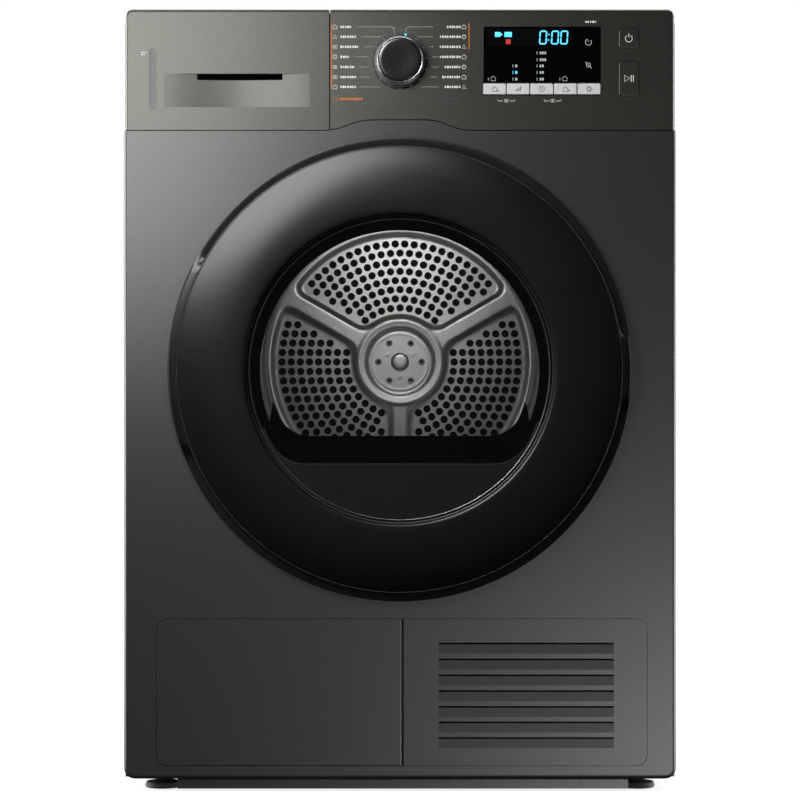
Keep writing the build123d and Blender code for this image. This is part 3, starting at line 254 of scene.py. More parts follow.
PAINT = cabinet_paint()
BAND = band_metal()
DRUM_STEEL = spun_steel()
PLATED = steel("plated_steel", (0.55, 0.55, 0.54), 0.35)
ZINC = steel("zinc_sheet", (0.42, 0.43, 0.44), 0.5, scale=60, bump=0.02)
CHROME = steel("chrome", (0.80, 0.80, 0.81), 0.22, scale=40, bump=0.0)
FINE_LINE = steel("fine_line", (0.16, 0.165, 0.175), 0.45, scale=40, bump=0.0)
COPPER = steel("copper", (0.72, 0.40, 0.26), 0.32)
FINS = steel("fin_aluminium", (0.74, 0.75, 0.76), 0.38)
BLACK = plastic("black_plastic", (0.010, 0.0105, 0.012), 0.38)
# Near-black for the bowl floor, and painted shade in the screw sockets and the drawer's finger pocket.
SHELF_AND_SHADE = matt_black("shelf_and_shade_black", (0.004, 0.004, 0.0045))
PLATE = plastic("lower_plate", (0.085, 0.088, 0.099), 0.45, bump=0.004)
DARK = plastic("dark_plastic", (0.030, 0.033, 0.040), 0.55)
FOOT = plastic("foot_plastic", (0.16, 0.165, 0.185), 0.5)
GREY = plastic("grey_plastic", (0.36, 0.37, 0.38), 0.5)
SILVER = plastic("silver_plastic", (0.52, 0.52, 0.515), 0.30, spread=0.04, bump=0.006)
# Lighter grey laid along the lower plate's top edge: painted highlight.
EDGE_HIGHLIGHT = plastic("plate_edge_highlight", (0.16, 0.16, 0.165), 0.3, bump=0.0)
# Near-black for the disc behind the drum's holes: painted shade.
DUCT_SHADE = plastic("duct_shade_disc", (0.002, 0.002, 0.002), 0.9, bump=0.0)
RUBBER = plastic("rubber", (0.018, 0.018, 0.019), 0.75, bump=0.04)
BOARD = plastic("board", (0.02, 0.11, 0.05), 0.5)
RING_BLACK = gloss("gloss_black", (0.0050, 0.0054, 0.0068), roughness=0.30, coat=0.0)
KNOB_BLACK = gloss("knob_black", (0.006, 0.006, 0.0065), roughness=0.25, coat=0.5)
DISPLAY_BLACK = gloss("display_black", (0.003, 0.003, 0.004), roughness=0.05)
PAINTED_BLACK = plastic("black_enamel", (0.014, 0.014, 0.014), 0.3)
PANE = see_through("tinted_glass", (0.02, 0.022, 0.025), 0.22)
BOWL = see_through("clear_glass", (0.05, 0.055, 0.06), 0.06, roughness=0.03)
# Solid black for the front of the bowl wall: painted shade for how dark the slanting glass looks.
BOWL_WALL = matt_black("glass_painted_shade", (0.010, 0.0105, 0.012), shine=0.0)
GLOWING_INK_WHITE = ink("glowing_ink_white", (0.80, 0.80, 0.78), 0.75)
INK_GREY = plastic("ink_grey", (0.22, 0.235, 0.26), 0.6, bump=0.0)
GLOWING_INK_ORANGE = ink("glowing_ink_orange", (0.85, 0.26, 0.06), 0.45)
INK_DARK = plastic("ink_dark", (0.03, 0.03, 0.032), 0.6, bump=0.0)
GLOWING_INK_LINE = ink("glowing_ink_line", (0.42, 0.42, 0.41), 0.5)
LEVEL = plastic("level_window", (0.50, 0.50, 0.51), 0.35, spread=0.03, bump=0.0)
SKIRT = plastic("dial_skirt", (0.020, 0.021, 0.022), 0.3, bump=0.004)
DISPLAY_FIELD = gloss("display_field", (0.010, 0.010, 0.013), roughness=0.1)
LIT_CYAN = glow("lit_cyan", (0.10, 0.62, 0.95), 1.6)
LIT_WHITE = glow("lit_white", (0.75, 0.80, 0.82), 0.6)
LIT_RED = glow("lit_red", (0.85, 0.06, 0.06), 0.7)

NODE_LOOKS = {
    "front_panel": PAINT, "left_side_panel": PAINT, "right_side_panel": PAINT, "top_cover": PAINT,
    "service_flap": PAINT, "vent_grille": PAINT, "rear_panel": ZINC, "rear_duct_cover": ZINC,
    "base_tray": PAINT, "control_fascia": BAND, "power_button": BAND, "start_button": BAND,
    "tank_front": BAND, "display_window": DISPLAY_BLACK, "control_board": BOARD,
    "front_bulkhead": BLACK, "door_gasket": RUBBER, "latch_catch": DARK, "hinge_bracket": PLATED,
    "drum_bearing": PAINTED_BLACK, "motor_body": ZINC, "drive_belt": RUBBER, "blower_housing": DARK,
    "compressor": PAINTED_BLACK, "heat_exchanger": FINS, "exchanger_cover": GREY,
    "refrigerant_pipes": COPPER, "drain_spigot": GREY, "roller_axles": PLATED,
    "cabinet_screws": PLATED, "tank_tray": GREY, "door_ring": RING_BLACK, "door_frame": BLACK,
    "door_bowl": BOWL, "door_window": PANE, "door_lower_plate": PLATE, "latch_hook": PLATED,
    "hinge_leaf": PLATED, "drum_shell": DRUM_STEEL, "drum_rear_wall": DRUM_STEEL,
    "drum_lifters": DRUM_STEEL, "drum_shaft": DRUM_STEEL, "hub_screws": PLATED,
    "motor_rotor": PLATED, "blower_fan": GREY, "left_drum_roller": RUBBER,
    "right_drum_roller": RUBBER, "knob_cap": KNOB_BLACK, "knob_bezel": CHROME,
    "water_tank": GREY, "lint_filter": GREY,
    "front_left_foot": FOOT, "front_right_foot": FOOT, "rear_left_foot": FOOT,
    "rear_right_foot": FOOT,
}
for number in range(1, 6):
    NODE_LOOKS[f"option_button_{number}"] = SILVER
for name, look in NODE_LOOKS.items():
    NODES[name].data.materials.clear()
    NODES[name].data.materials.append(look)


# ------------------------------------------------------------------ mesh helpers
def piece(name, vertices, faces, material, body, smooth=True, stands_for=()):
    """A mesh object from points in millimetres, made to ride on its body."""
    mesh = bpy.data.meshes.new(name)
    mesh.from_pydata([Vector(v) * MM for v in vertices], [], faces)
    mesh.validate()
    editor = bmesh.new()
    editor.from_mesh(mesh)
    bmesh.ops.recalc_face_normals(editor, faces=editor.faces)
    editor.to_mesh(mesh)
    editor.free()
    mesh.materials.append(material)
    if smooth:
        mesh.shade_smooth()
        mesh.set_sharp_from_angle(angle=math.radians(SHARP_ANGLE))
    thing = bpy.data.objects.new(name, mesh)
    SCENE.collection.objects.link(thing)
    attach(thing, body)
    if stands_for:
        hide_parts(*stands_for)
    return thing


def revolve(profile, centre, steps):
    """Vertices and faces of a closed (radius, height) profile turned about a line along Y.

    Height counts towards the front from the centre's y. The profile may be a function of angle.
    """
    vertices, faces = [], []
    for i in range(steps):
        angle = 2 * math.pi * i / steps
        points = profile(angle) if callable(profile) else profile
        count = len(points)
        for radius, height in points:
            vertices.append(
                (
                    centre[0] + radius * math.cos(angle),
                    centre[1] - height,
                    centre[2] + radius * math.sin(angle),
                )
            )
    for i in range(steps):
        j = (i + 1) % steps
        for k in range(count):
            n = (k + 1) % count
            faces.append((i * count + k, j * count + k, j * count + n, i * count + n))
    return vertices, faces


def ease(t):
    """Smooth step from 0 to 1."""
    t = max(0.0, min(1.0, t))
    return t * t * (3 - 2 * t)


def arc_points(a, b, c, steps):
    """Points of the circular arc through a, b and c, ends included."""
    ax, ay = a
    bx, by = b
    cx, cy = c
    d = 2 * (ax * (by - cy) + bx * (cy - ay) + cx * (ay - by))
    sa, sb, sc = ax * ax + ay * ay, bx * bx + by * by, cx * cx + cy * cy
    ux = (sa * (by - cy) + sb * (cy - ay) + sc * (ay - by)) / d
    uy = (sa * (cx - bx) + sb * (ax - cx) + sc * (bx - ax)) / d
    radius = math.hypot(ax - ux, ay - uy)
    first = math.atan2(ay - uy, ax - ux)
    last = math.atan2(cy - uy, cx - ux)
    return [
        (ux + radius * math.cos(first + (last - first) * i / steps),
         uy + radius * math.sin(first + (last - first) * i / steps))
        for i in range(steps + 1)
    ]


class Inlay:
    """Flat marks gathered into one thin mesh lying on a face that looks forward."""

    def __init__(self, y):
        self.y = y
        self.vertices = []
        self.faces = []

    def prism(self, outline):
        """A simple closed outline of (x, z) points, as a thin plate on the face."""
        self.plate(outline, self.y - DECAL_T, self.y + DECAL_SINK)

    def plate(self, outline, front, back):
        """A closed outline of (x, z) points made solid between two depths."""
        start, count = len(self.vertices), len(outline)
        for depth in (front, back):
            self.vertices += [(x, depth, z) for x, z in outline]
        self.faces.append(tuple(range(start, start + count)))
        self.faces.append(tuple(range(start + 2 * count - 1, start + count - 1, -1)))
        for i in range(count):
            j = (i + 1) % count
            self.faces.append((start + i, start + j, start + count + j, start + count + i))

    def bar(self, x, z, w, h, radius=0.0, steps=4):
        """A rectangle centred at (x, z), with rounded corners."""
        radius = min(radius, w / 2 - 0.01, h / 2 - 0.01)
        if radius <= 0:
            self.prism([(x - w / 2, z - h / 2), (x + w / 2, z - h / 2),
                        (x + w / 2, z + h / 2), (x - w / 2, z + h / 2)])
            return
        outline = []
        for turn, (sx, sz) in enumerate(((1, 1), (-1, 1), (-1, -1), (1, -1))):
            for i in range(steps + 1):
                a = math.pi / 2 * (turn + i / steps)
                outline.append((x + sx * (w / 2 - radius) + radius * math.cos(a),
                                z + sz * (h / 2 - radius) + radius * math.sin(a)))
        self.prism(outline)

    def stroke(self, points, width, closed=False):
        """A line of even width through the points."""
        count = len(points)
        left, right = [], []
        for i, (x, z) in enumerate(points):
            before = points[i - 1] if (i or closed) else points[i]
            after = points[(i + 1) % count] if (i < count - 1 or closed) else points[i]
            dx, dz = after[0] - before[0], after[1] - before[1]
            size = math.hypot(dx, dz) or 1.0
            nx, nz = -dz / size * width / 2, dx / size * width / 2
            left.append((x + nx, z + nz))
            right.append((x - nx, z - nz))
        if not closed:
            self.prism(left + right[::-1])
            return
        start = len(self.vertices)
        for depth in (self.y - DECAL_T, self.y + DECAL_SINK):
            for ring in (left, right):
                self.vertices += [(x, depth, z) for x, z in ring]
        for i in range(count):
            j = (i + 1) % count
            a, b, c, d = start, start + count, start + 2 * count, start + 3 * count
            self.faces += [
                (a + i, a + j, b + j, b + i), (c + j, c + i, d + i, d + j),
                (a + j, a + i, c + i, c + j), (b + i, b + j, d + j, d + i),
            ]

    def circle(self, x, z, radius, width, first=0.0, last=360.0, steps=28):
        """A circle, or part of one, drawn as a line."""
        whole = last - first >= 360
        count = steps if whole else steps + 1
        self.stroke(
            [(x + radius * math.cos(math.radians(first + (last - first) * i / steps)),
              z + radius * math.sin(math.radians(first + (last - first) * i / steps)))
             for i in range(count)],
            width, closed=whole,
        )

    def dot(self, x, z, radius, steps=16):
        """A filled disc."""
        self.prism([(x + radius * math.cos(2 * math.pi * i / steps),
                     z + radius * math.sin(2 * math.pi * i / steps)) for i in range(steps)])

    def done(self, name, material, body, slot):
        """Make the object."""
        return piece(name, self.vertices, self.faces, material, body, smooth=False)


# ------------------------------------------------------------------ door
def door_ring():
    """The glossy ring: skirt, rim with finger grip and hinge notch, dome, step in to the window."""
    dome = arc_points((FINE_R - 0.5, 18.5), (209, 30.6), (173, DOOR_CREST), 40)
    under = arc_points((WINDOW_R + 5, DOOR_CREST - 4), (208, 27), (FINE_R, 13), 12)
    rim = [
        (RING_R, 7.6), (RING_R - 0.3, 8.3), (RING_R - 1.0, 8.6), (RING_R - 4.0, 8.6),
        (RING_R - 8.2, 8.6), (RING_R - 8.4, 9.0), (FINE_R + 2.0, 16.4), (FINE_R + 1.4, 17.2),
    ]
    grip = [
        (RING_R, 8.0), (RING_R, 11.0), (RING_R - 0.35, 12.6), (RING_R - 1.2, 14.0),
        (RING_R - 2.6, 15.1), (RING_R - 4.5, 16.0), (FINE_R + 2.2, 17.9), (FINE_R + 1.4, 18.0),
    ]
    inner = [
        (169.2, DOOR_CREST - 0.05), (167.7, DOOR_CREST - 0.4), (166.8, DOOR_CREST - 1.2),
        (WINDOW_R + 0.3, DOOR_CREST - 2.6), (WINDOW_R, 26.2), (WINDOW_R, 22.0),
        (WINDOW_R + 3, 20.0),
    ]
    foot = [(SKIRT_R, DOOR_BACK), (RING_R - 0.6, DOOR_BACK), (RING_R, DOOR_BACK + 0.7)]
    rest = [(FINE_R + 0.9, 17.2), (FINE_R, 17.2)] + dome + inner + under
    rest += [(FINE_R + 0.5, SHELL_BACK), (SKIRT_R, SHELL_BACK)]

    def profile(angle):
        turned = math.degrees(angle)
        from_hinge = min(turned, 360 - turned)
        into_grip = ease((turned - GRIP_ANGLES[0]) / EASE_ANGLE)
        out_of_grip = ease((GRIP_ANGLES[1] - turned) / EASE_ANGLE)
        near_notch = ease((NOTCH_ANGLE + EASE_ANGLE - from_hinge) / EASE_ANGLE)
        share = max(into_grip * out_of_grip, near_notch)
        edge = [
            (a[0] + (b[0] - a[0]) * share, a[1] + (b[1] - a[1]) * share)
            for a, b in zip(rim, grip)
        ]
        lowest = NOTCH_TOP if from_hinge < NOTCH_ANGLE else DOOR_BACK
        return [(radius, max(height, lowest)) for radius, height in foot + edge + rest]

    vertices, faces = revolve(profile, DOOR_CENTRE, 360)
    piece("door_ring_shell", vertices, faces, RING_BLACK, "door",
          stands_for=["door_ring"])


def thin_ring(name, radius, height, width, material):
    """A fine trim line of round section on the door."""
    profile = [
        (radius + width / 2 * math.cos(math.pi * i / 8), height + width / 2 * math.sin(math.pi * i / 8))
        for i in range(16)
    ]
    vertices, faces = revolve(profile, DOOR_CENTRE, 256)
    piece(name, vertices, faces, material, "door")


door_ring()
thin_ring("door_fine_line", FINE_R + 0.4, 17.5, 0.9, FINE_LINE)
thin_ring("window_trim_outer", WINDOW_R - 0.7, 26.6, 0.8, FINE_LINE)
thin_ring("window_trim_inner", WINDOW_R - 4.2, 26.2, 0.6, PLATED)


# ------------------------------------------------------------------ door window
BOWL_Y = (FRONT - 14.0, -172.0)
BOWL_R = (163.0, 150.0)
CHORD_Z = (351.0, 381.0)
CHORD_CORNER = 45.0
WALL = 4.0
# How far back the bowl wall is painted black as shade.
SHADE_DEPTH = 53.0
PLATE_BACK, PLATE_FACE = 18.0, 21.9
PLATE_R = WINDOW_R - 0.5
PLATE_EDGE = 0.7
ROUND_STEPS, CORNER_STEPS, CHORD_STEPS = 96, 14, 8


def d_outline(radius, chord, corner):
    """A circle about the door's centre cut flat below with rounded corners, as (x, z) points."""
    rise = chord + corner - DOOR_Z
    out = math.sqrt((radius - corner) ** 2 - rise ** 2)
    lean = math.atan2(rise, out)
    points = []
    for i in range(ROUND_STEPS + 1):
        a = lean + (math.pi - 2 * lean) * i / ROUND_STEPS
        points.append((DOOR_X + radius * math.cos(a), DOOR_Z + radius * math.sin(a)))
    for i in range(1, CORNER_STEPS + 1):
        a = math.pi - lean + (math.pi / 2 + lean) * i / CORNER_STEPS
        points.append((DOOR_X - out + corner * math.cos(a), chord + corner + corner * math.sin(a)))
    for i in range(1, CHORD_STEPS + 1):
        points.append((DOOR_X - out + 2 * out * i / CHORD_STEPS, chord))
    for i in range(1, CORNER_STEPS):
        a = 1.5 * math.pi + (math.pi / 2 + lean) * i / CORNER_STEPS
        points.append((DOOR_X + out + corner * math.cos(a), chord + corner + corner * math.sin(a)))
    return points


def bowl_section(y, inset):
    """The bowl's outline at depth y, drawn in by inset."""
    t = (y - BOWL_Y[0]) / (BOWL_Y[1] - BOWL_Y[0])
    radius = BOWL_R[0] + (BOWL_R[1] - BOWL_R[0]) * t - inset
    chord = CHORD_Z[0] + (CHORD_Z[1] - CHORD_Z[0]) * t + inset
    return [(x, y, z) for x, z in d_outline(radius, chord, CHORD_CORNER - inset)]


def skin(rings, wrap=True):
    """Quads between successive rings of points, joining the last ring to the first."""
    vertices = [point for ring in rings for point in ring]
    count = len(rings[0])
    faces = []
    for k in range(len(rings)):
        n = (k + 1) % len(rings)
        for i in range(count if wrap else count - 1):
            j = (i + 1) % count
            faces.append((k * count + i, k * count + j, n * count + j, n * count + i))
    return vertices, faces



def window():
    """The glass bowl: wall painted solid black at the front as painted shade, clear shoulder and end,
    flange, floor, and lower plate.
    """
    front, back = BOWL_Y
    depths = (front, front + 18, front + 36, front + SHADE_DEPTH)
    # The front of the wall, solid black: painted shade.
    printed = [bowl_section(y, 0.0) for y in depths]
    printed += [bowl_section(y, WALL) for y in reversed(depths)]
    vertices, faces = skin(printed)
    piece("bowl_wall", vertices, faces, BOWL_WALL, "door",
          stands_for=["door_bowl"])
    depths = (front + SHADE_DEPTH + 0.05, back - 42, back - 12)
    clear = [bowl_section(y, 0.0) for y in depths]
    clear += [bowl_section(back - 3, 0.5), bowl_section(back - 0.9, 1.6), bowl_section(back, 3.6)]
    clear += [bowl_section(back - WALL, 5.4), bowl_section(back - 5.5, 4.4)]
    clear += [bowl_section(y, WALL) for y in reversed(depths)]
    vertices, faces = skin(clear)
    piece("bowl_shoulder", vertices, faces, BOWL, "door")
    end = Inlay(0)
    rim = [(x, z) for x, y, z in bowl_section(back, 3.8)]
    end.plate(rim, back - WALL + 0.1, back - 0.05)
    end.done("bowl_end", BOWL, "door", "clear_glass")
    flange = [(171, 14.0), (171, 18.0), (162.2, 18.0), (160.6, 14.0)]
    vertices, faces = revolve(flange, DOOR_CENTRE, 160)
    piece("bowl_flange", vertices, faces, BLACK, "door")

    # Floor: the lower part of the bowl's inside, from corner to corner
    rows = []
    for lift in (WALL + 0.3, WALL + 1.8):
        for y in (front - 3.0, front + 40, front + 80, back - 6.5):
            section = bowl_section(y, lift)
            rows.append(section[ROUND_STEPS - 2:] + section[:3])
    strip = rows[:4] + rows[4:][::-1]
    vertices, faces = skin(strip, wrap=False)
    count = len(strip[0])
    faces.append(tuple(k * count for k in range(len(strip))))
    faces.append(tuple(k * count + count - 1 for k in reversed(range(len(strip)))))
    piece("bowl_floor", vertices, faces, SHELF_AND_SHADE, "door")

    # Plate between the flat of the bowl and the round of the window
    cut = d_outline(BOWL_R[0] - WALL, CHORD_Z[0] + WALL + 2.4, CHORD_CORNER - WALL)
    lower = cut[ROUND_STEPS - 3:] + cut[:5]
    arc = []
    ends = (lower[0], lower[-1])
    start = math.atan2(ends[0][1] - DOOR_Z, ends[0][0] - DOOR_X) % (2 * math.pi)
    stop = math.atan2(ends[1][1] - DOOR_Z, ends[1][0] - DOOR_X) % (2 * math.pi)
    stop += 2 * math.pi if stop < start else 0
    count = len(lower)
    for i in range(count):
        a = start + (stop - start) * i / (count - 1)
        arc.append((DOOR_X + PLATE_R * math.cos(a), DOOR_Z + PLATE_R * math.sin(a)))
    rings = [
        [(x, FRONT - PLATE_BACK, z) for x, z in lower],
        [(x, FRONT - PLATE_FACE + PLATE_EDGE, z) for x, z in lower],
        [(x, FRONT - PLATE_FACE, z - PLATE_EDGE) for x, z in lower],
        [(x, FRONT - PLATE_FACE, z) for x, z in arc],
        [(x, FRONT - PLATE_BACK, z) for x, z in arc],
    ]
    vertices, faces = skin(rings, wrap=False)
    faces.append(tuple(k * count for k in range(len(rings))))
    faces.append(tuple(k * count + count - 1 for k in reversed(range(len(rings)))))
    piece("lower_plate", vertices, faces, PLATE, "door",
          stands_for=["door_lower_plate"])
    # A lighter line along the plate's upper edge: painted highlight of the edge.
    edge = Inlay(FRONT - PLATE_FACE)
    edge.stroke([(x, z - 1.1) for x, z in lower], 0.8)
    edge.done("plate_edge", EDGE_HIGHLIGHT, "door", "black_plastic")


# ------------------------------------------------------------------ drum wall
HUB = (39.0, 46.0)
HUB_SINK = 3.0
PLATEAU = 5.0
SLOPE = 8.0
BEND = 16.0
WALL_EDGE = 177.0
CELL = 1.6
BEAD_R, SCORE_R, DIMPLE_R = 52.0, 36.0, 18.5
SCREW_R = 27.4


def soft_max(a, b, k):
    """The larger of two values, with the corner between them rounded over k."""
    h = max(k - abs(a - b), 0) / k
    return max(a, b) + h * h * k / 4


def off_sector(x, z):
    """How far a point of the wall is outside the perforated sectors; negative inside one."""
    r = math.hypot(x, z)
    across = r
    for angle in ARM_ANGLES:
        a = math.radians(angle)
        if x * math.cos(a) + z * math.sin(a) > 0:
            across = min(across, abs(-x * math.sin(a) + z * math.cos(a)))
    side = ARM_W / 2 - across
    return soft_max(side, max(SECTOR_R[0] - r, r - SECTOR_R[1]), BEND)


def relief(x, z):
    """Height of the pressed arms, rim and hub in front of the flat of the wall."""
    r = math.hypot(x, z)
    height = PLATEAU * ease(off_sector(x, z) / SLOPE)
    height *= ease((WALL_EDGE - r) / SLOPE)
    height += 0.8 * math.exp(-((r - BEAD_R) / 3.0) ** 2)
    if r < HUB[1] + 3:
        height -= HUB_SINK * ease((HUB[1] - r) / (HUB[1] - HUB[0]))
        height += 0.5 * math.exp(-(r - SCORE_R) ** 2)
    for turn in ARM_ANGLES:
        a = math.radians(turn)
        gap = math.hypot(x - DIMPLE_R * math.cos(a), z - DIMPLE_R * math.sin(a))
        height += 0.7 * math.exp(-(gap / 1.5) ** 2)
    return height


def spider():
    """The wall between and around the perforated sectors, as one pressed relief."""
    cells = int((WALL_EDGE + 1) / CELL)
    index, top = {}, []

    def vertex(i, j):
        if (i, j) not in index:
            x, z = i * CELL, j * CELL
            for _ in range(3):
                f = off_sector(x, z)
                if f >= 0:
                    break
                gx = (off_sector(x + 0.1, z) - f) / 0.1
                gz = (off_sector(x, z + 0.1) - f) / 0.1
                size = max(gx * gx + gz * gz, 0.05)
                x, z = x - f * gx / size, z - f * gz / size
            index[(i, j)] = len(top)
            top.append((x, z, relief(x, z)))
        return index[(i, j)]

    quads = []
    for i in range(-cells, cells):
        for j in range(-cells, cells):
            ring = ((i, j), (i + 1, j), (i + 1, j + 1), (i, j + 1))
            if any(math.hypot(a * CELL, b * CELL) > WALL_EDGE - 0.5 for a, b in ring):
                continue
            if all(off_sector(a * CELL, b * CELL) > -0.55 * CELL for a, b in ring):
                quads.append(tuple(vertex(a, b) for a, b in ring))
    count = len(top)
    vertices = [(x, DISH_Y - h, DRUM_Z + z) for x, z, h in top]
    vertices += [(x, DISH_Y + 0.4, DRUM_Z + z) for x, z, h in top]
    faces = list(quads) + [tuple(v + count for v in reversed(q)) for q in quads]
    edges = {(q[k], q[(k + 1) % 4]): True for q in quads for k in range(4)}
    for a, b in edges:
        if (b, a) not in edges:
            faces.append((b, a, a + count, b + count))
    piece("wall_relief", vertices, faces, DRUM_STEEL, "drum")


def hub():
    """Domed shaft cap, six socket screws with black discs in their sockets as painted shade, and a
    black disc behind the holes as painted shade for the duct.
    """
    base = DISH_Y - (PLATEAU - HUB_SINK)
    cap = [(0.01, -0.5), (0.01, 3.1), (5.0, 3.05), (8.6, 2.8), (10.2, 2.2), (11.0, 1.1),
           (11.3, 0.25), (12.6, 0.2), (12.8, -0.5)]
    vertices, faces = revolve(cap, (0, base, DRUM_Z), 64)
    piece("shaft_cap", vertices, faces, DRUM_STEEL, "drum")
    head = [(0.01, -0.4), (0.01, 0.5), (2.1, 0.5), (2.2, 1.9), (2.6, 2.1), (3.5, 1.6), (4.1, 0.6),
            (4.1, -0.4)]
    # Black disc sunk in each screw's socket: painted shade in the recess.
    socket = [(0.01, 0.4), (0.01, 0.8), (2.0, 0.8), (2.0, 0.4)]
    for turn in range(6):
        a = math.radians(60 * turn)
        place = (SCREW_R * math.cos(a), base, DRUM_Z + SCREW_R * math.sin(a))
        vertices, faces = revolve(head, place, 20)
        stands = ["hub_screws"] if turn == 0 else []
        piece(f"hub_screw_{turn + 1}", vertices, faces, PLATED, "drum",
              stands_for=stands)
        vertices, faces = revolve(socket, place, 6)
        piece(f"hub_socket_{turn + 1}", vertices, faces, SHELF_AND_SHADE, "drum")
    # Black disc behind the holes: painted shade for the dark duct beyond.
    shade_disc = [(8.0, 0.0), (8.0, 1.5), (170.0, 1.5), (170.0, 0.0)]
    vertices, faces = revolve(shade_disc, (0, DISH_Y + 12.5, DRUM_Z), 96)
    piece("duct_shade_disc", vertices, faces, DUCT_SHADE, "drum")


window()
spider()
hub()

# ------------------------------------------------------------------ control band marks
LEGEND_Z = (830.3, 819.6, 808.7, 797.8, 786.8, 775.9, 765.2)
LEFT_WORDS = (5, 7, 8, 4, 6, 7, 7)
RIGHT_WORDS = (6, 9, 9, 9, 7, 8, 7)
LEFT_LEADS = (
    ((-47.5, -9.1), (-6.2, 824.2)), ((-42.2, -20.8), None), ((-39.0, -31.0), None),
    ((-48.6, -35.8), None), ((-45.4, -35.8), None), ((-44.3, -32.6), None), ((-44.3, -20.8), None),
)
RIGHT_LEADS = (
    ((35.8, 9.1), (6.2, 824.2)), ((35.8, 18.7), None), ((36.5, 31.2), None),
    ((41.5, 35.0), None), ((42.2, 35.0), None), ((40.0, 31.8), None), ((42.2, 23.0), None),
)
ROUND, PEAK, HOUSE, BOX = range(4)
LEFT_SYMBOLS = (HOUSE, PEAK, BOX, ROUND, BOX, BOX, HOUSE)
RIGHT_SYMBOLS = (HOUSE, ROUND, PEAK, HOUSE, ROUND, HOUSE, PEAK)
SYMBOL_X = (-70.6, 69.4)
WORD_X = (-64.6, 66.3)
BLOCK_PITCH = 2.55
LEVEL_Z = (802.0, 794.6, 787.9, 780.8, 773.6)
TICK_STEP, POINTER_ANGLE = 24, 78
POWER = (248.15, 817.85)
START = (248.15, 774.3)


def word(inlay, x, z, count, height=2.7):
    """A run of small plain blocks that stands where a printed word would be."""
    for i in range(count):
        wide = 1.35 + 0.5 * ((i * 7 + count) % 3) / 2
        inlay.bar(x + BLOCK_PITCH * i + wide / 2, z, wide, height - 0.5 * ((i + count) % 2), 0.4)


def symbol(inlay, x, z, kind, size=2.5, width=0.45):
    """One of four plain outline symbols."""
    if kind == ROUND:
        inlay.circle(x, z, size, width)
        inlay.stroke([(x, z), (x, z + size * 0.6)], width)
    elif kind == PEAK:
        inlay.stroke([(x - size, z - size * 0.8), (x + size, z - size * 0.8), (x, z + size)],
                     width, closed=True)
    elif kind == HOUSE:
        inlay.stroke([(x - size, z - size), (x + size, z - size), (x + size, z + size * 0.3),
                      (x, z + size * 1.1), (x - size, z + size * 0.3)], width, closed=True)
    else:
        inlay.stroke([(x - size, z - size * 0.7), (x + size, z - size * 0.7),
                      (x + size, z + size * 0.7), (x - size, z + size * 0.7)], width, closed=True)
        inlay.dot(x, z, size * 0.3)


def legend():
    """Programme marks on both sides of the dial."""
    white, warm, cool = Inlay(FRONT), Inlay(FRONT), Inlay(FRONT)
    lines = Inlay(FRONT)
    for row, z in enumerate(LEGEND_Z):
        symbol(white, SYMBOL_X[0], z, LEFT_SYMBOLS[row], 2.1)
        symbol(white, SYMBOL_X[1], z, RIGHT_SYMBOLS[row], 2.1)
        word(white, WORD_X[0], z, LEFT_WORDS[row])
        word(white, WORD_X[1] - BLOCK_PITCH * RIGHT_WORDS[row], z, RIGHT_WORDS[row])
        for span, drop in (LEFT_LEADS[row], RIGHT_LEADS[row]):
            points = [(span[0], z), (span[1], z)]
            if drop:
                sign = 1 if span[1] > 0 else -1
                points += [(span[1] - sign * 1.9, z - 1.0), (span[1] - sign * 2.6, z - 2.6), drop]
            lines.stroke(points, 0.45)
    warm.bar(-74.3, 798.9, 0.9, 71.0)
    warm.bar(74.9, 820.2, 0.9, 28.6)
    cool.bar(74.0, 783.0, 0.7, 38.0)
    symbol(warm, -70.2, 752.1, HOUSE, 2.1)
    word(warm, -65.2, 752.1, 10, 2.9)
    word(cool, 41.0, 752.7, 10, 2.7)
    symbol(cool, 69.6, 752.7, PEAK, 2.1)
    white.done("legend_marks", GLOWING_INK_WHITE, "cabinet", "silver_plastic")
    lines.done("legend_leads", GLOWING_INK_LINE, "cabinet", "silver_plastic")
    warm.done("legend_warm", GLOWING_INK_ORANGE, "cabinet", "silver_plastic")
    cool.done("legend_cool", INK_GREY, "cabinet", "silver_plastic")


SEGMENTS = {
    "top": ((0, 1), (1, 1)), "middle": ((0, 0.5), (1, 0.5)), "bottom": ((0, 0), (1, 0)),
    "upper_left": ((0, 0.5), (0, 1)), "upper_right": ((1, 0.5), (1, 1)),
    "lower_left": ((0, 0), (0, 0.5)), "lower_right": ((1, 0), (1, 0.5)),
}


def digit(inlay, x, z, w, h, lit, lean=0.06, width=1.5):
    """One seven-segment figure."""
    for name in lit:
        (ax, az), (bx, bz) = SEGMENTS[name]
        a = Vector((x + ax * w + az * h * lean, z + az * h))
        b = Vector((x + bx * w + bz * h * lean, z + bz * h))
        way = (b - a).normalized()
        a, b = a + way * 0.75, b - way * 0.75
        side = Vector((-way.y, way.x)) * width / 2
        tip = way * width * 0.4
        inlay.prism([a - tip, a + side, b + side, b + tip, b - side, a - side])


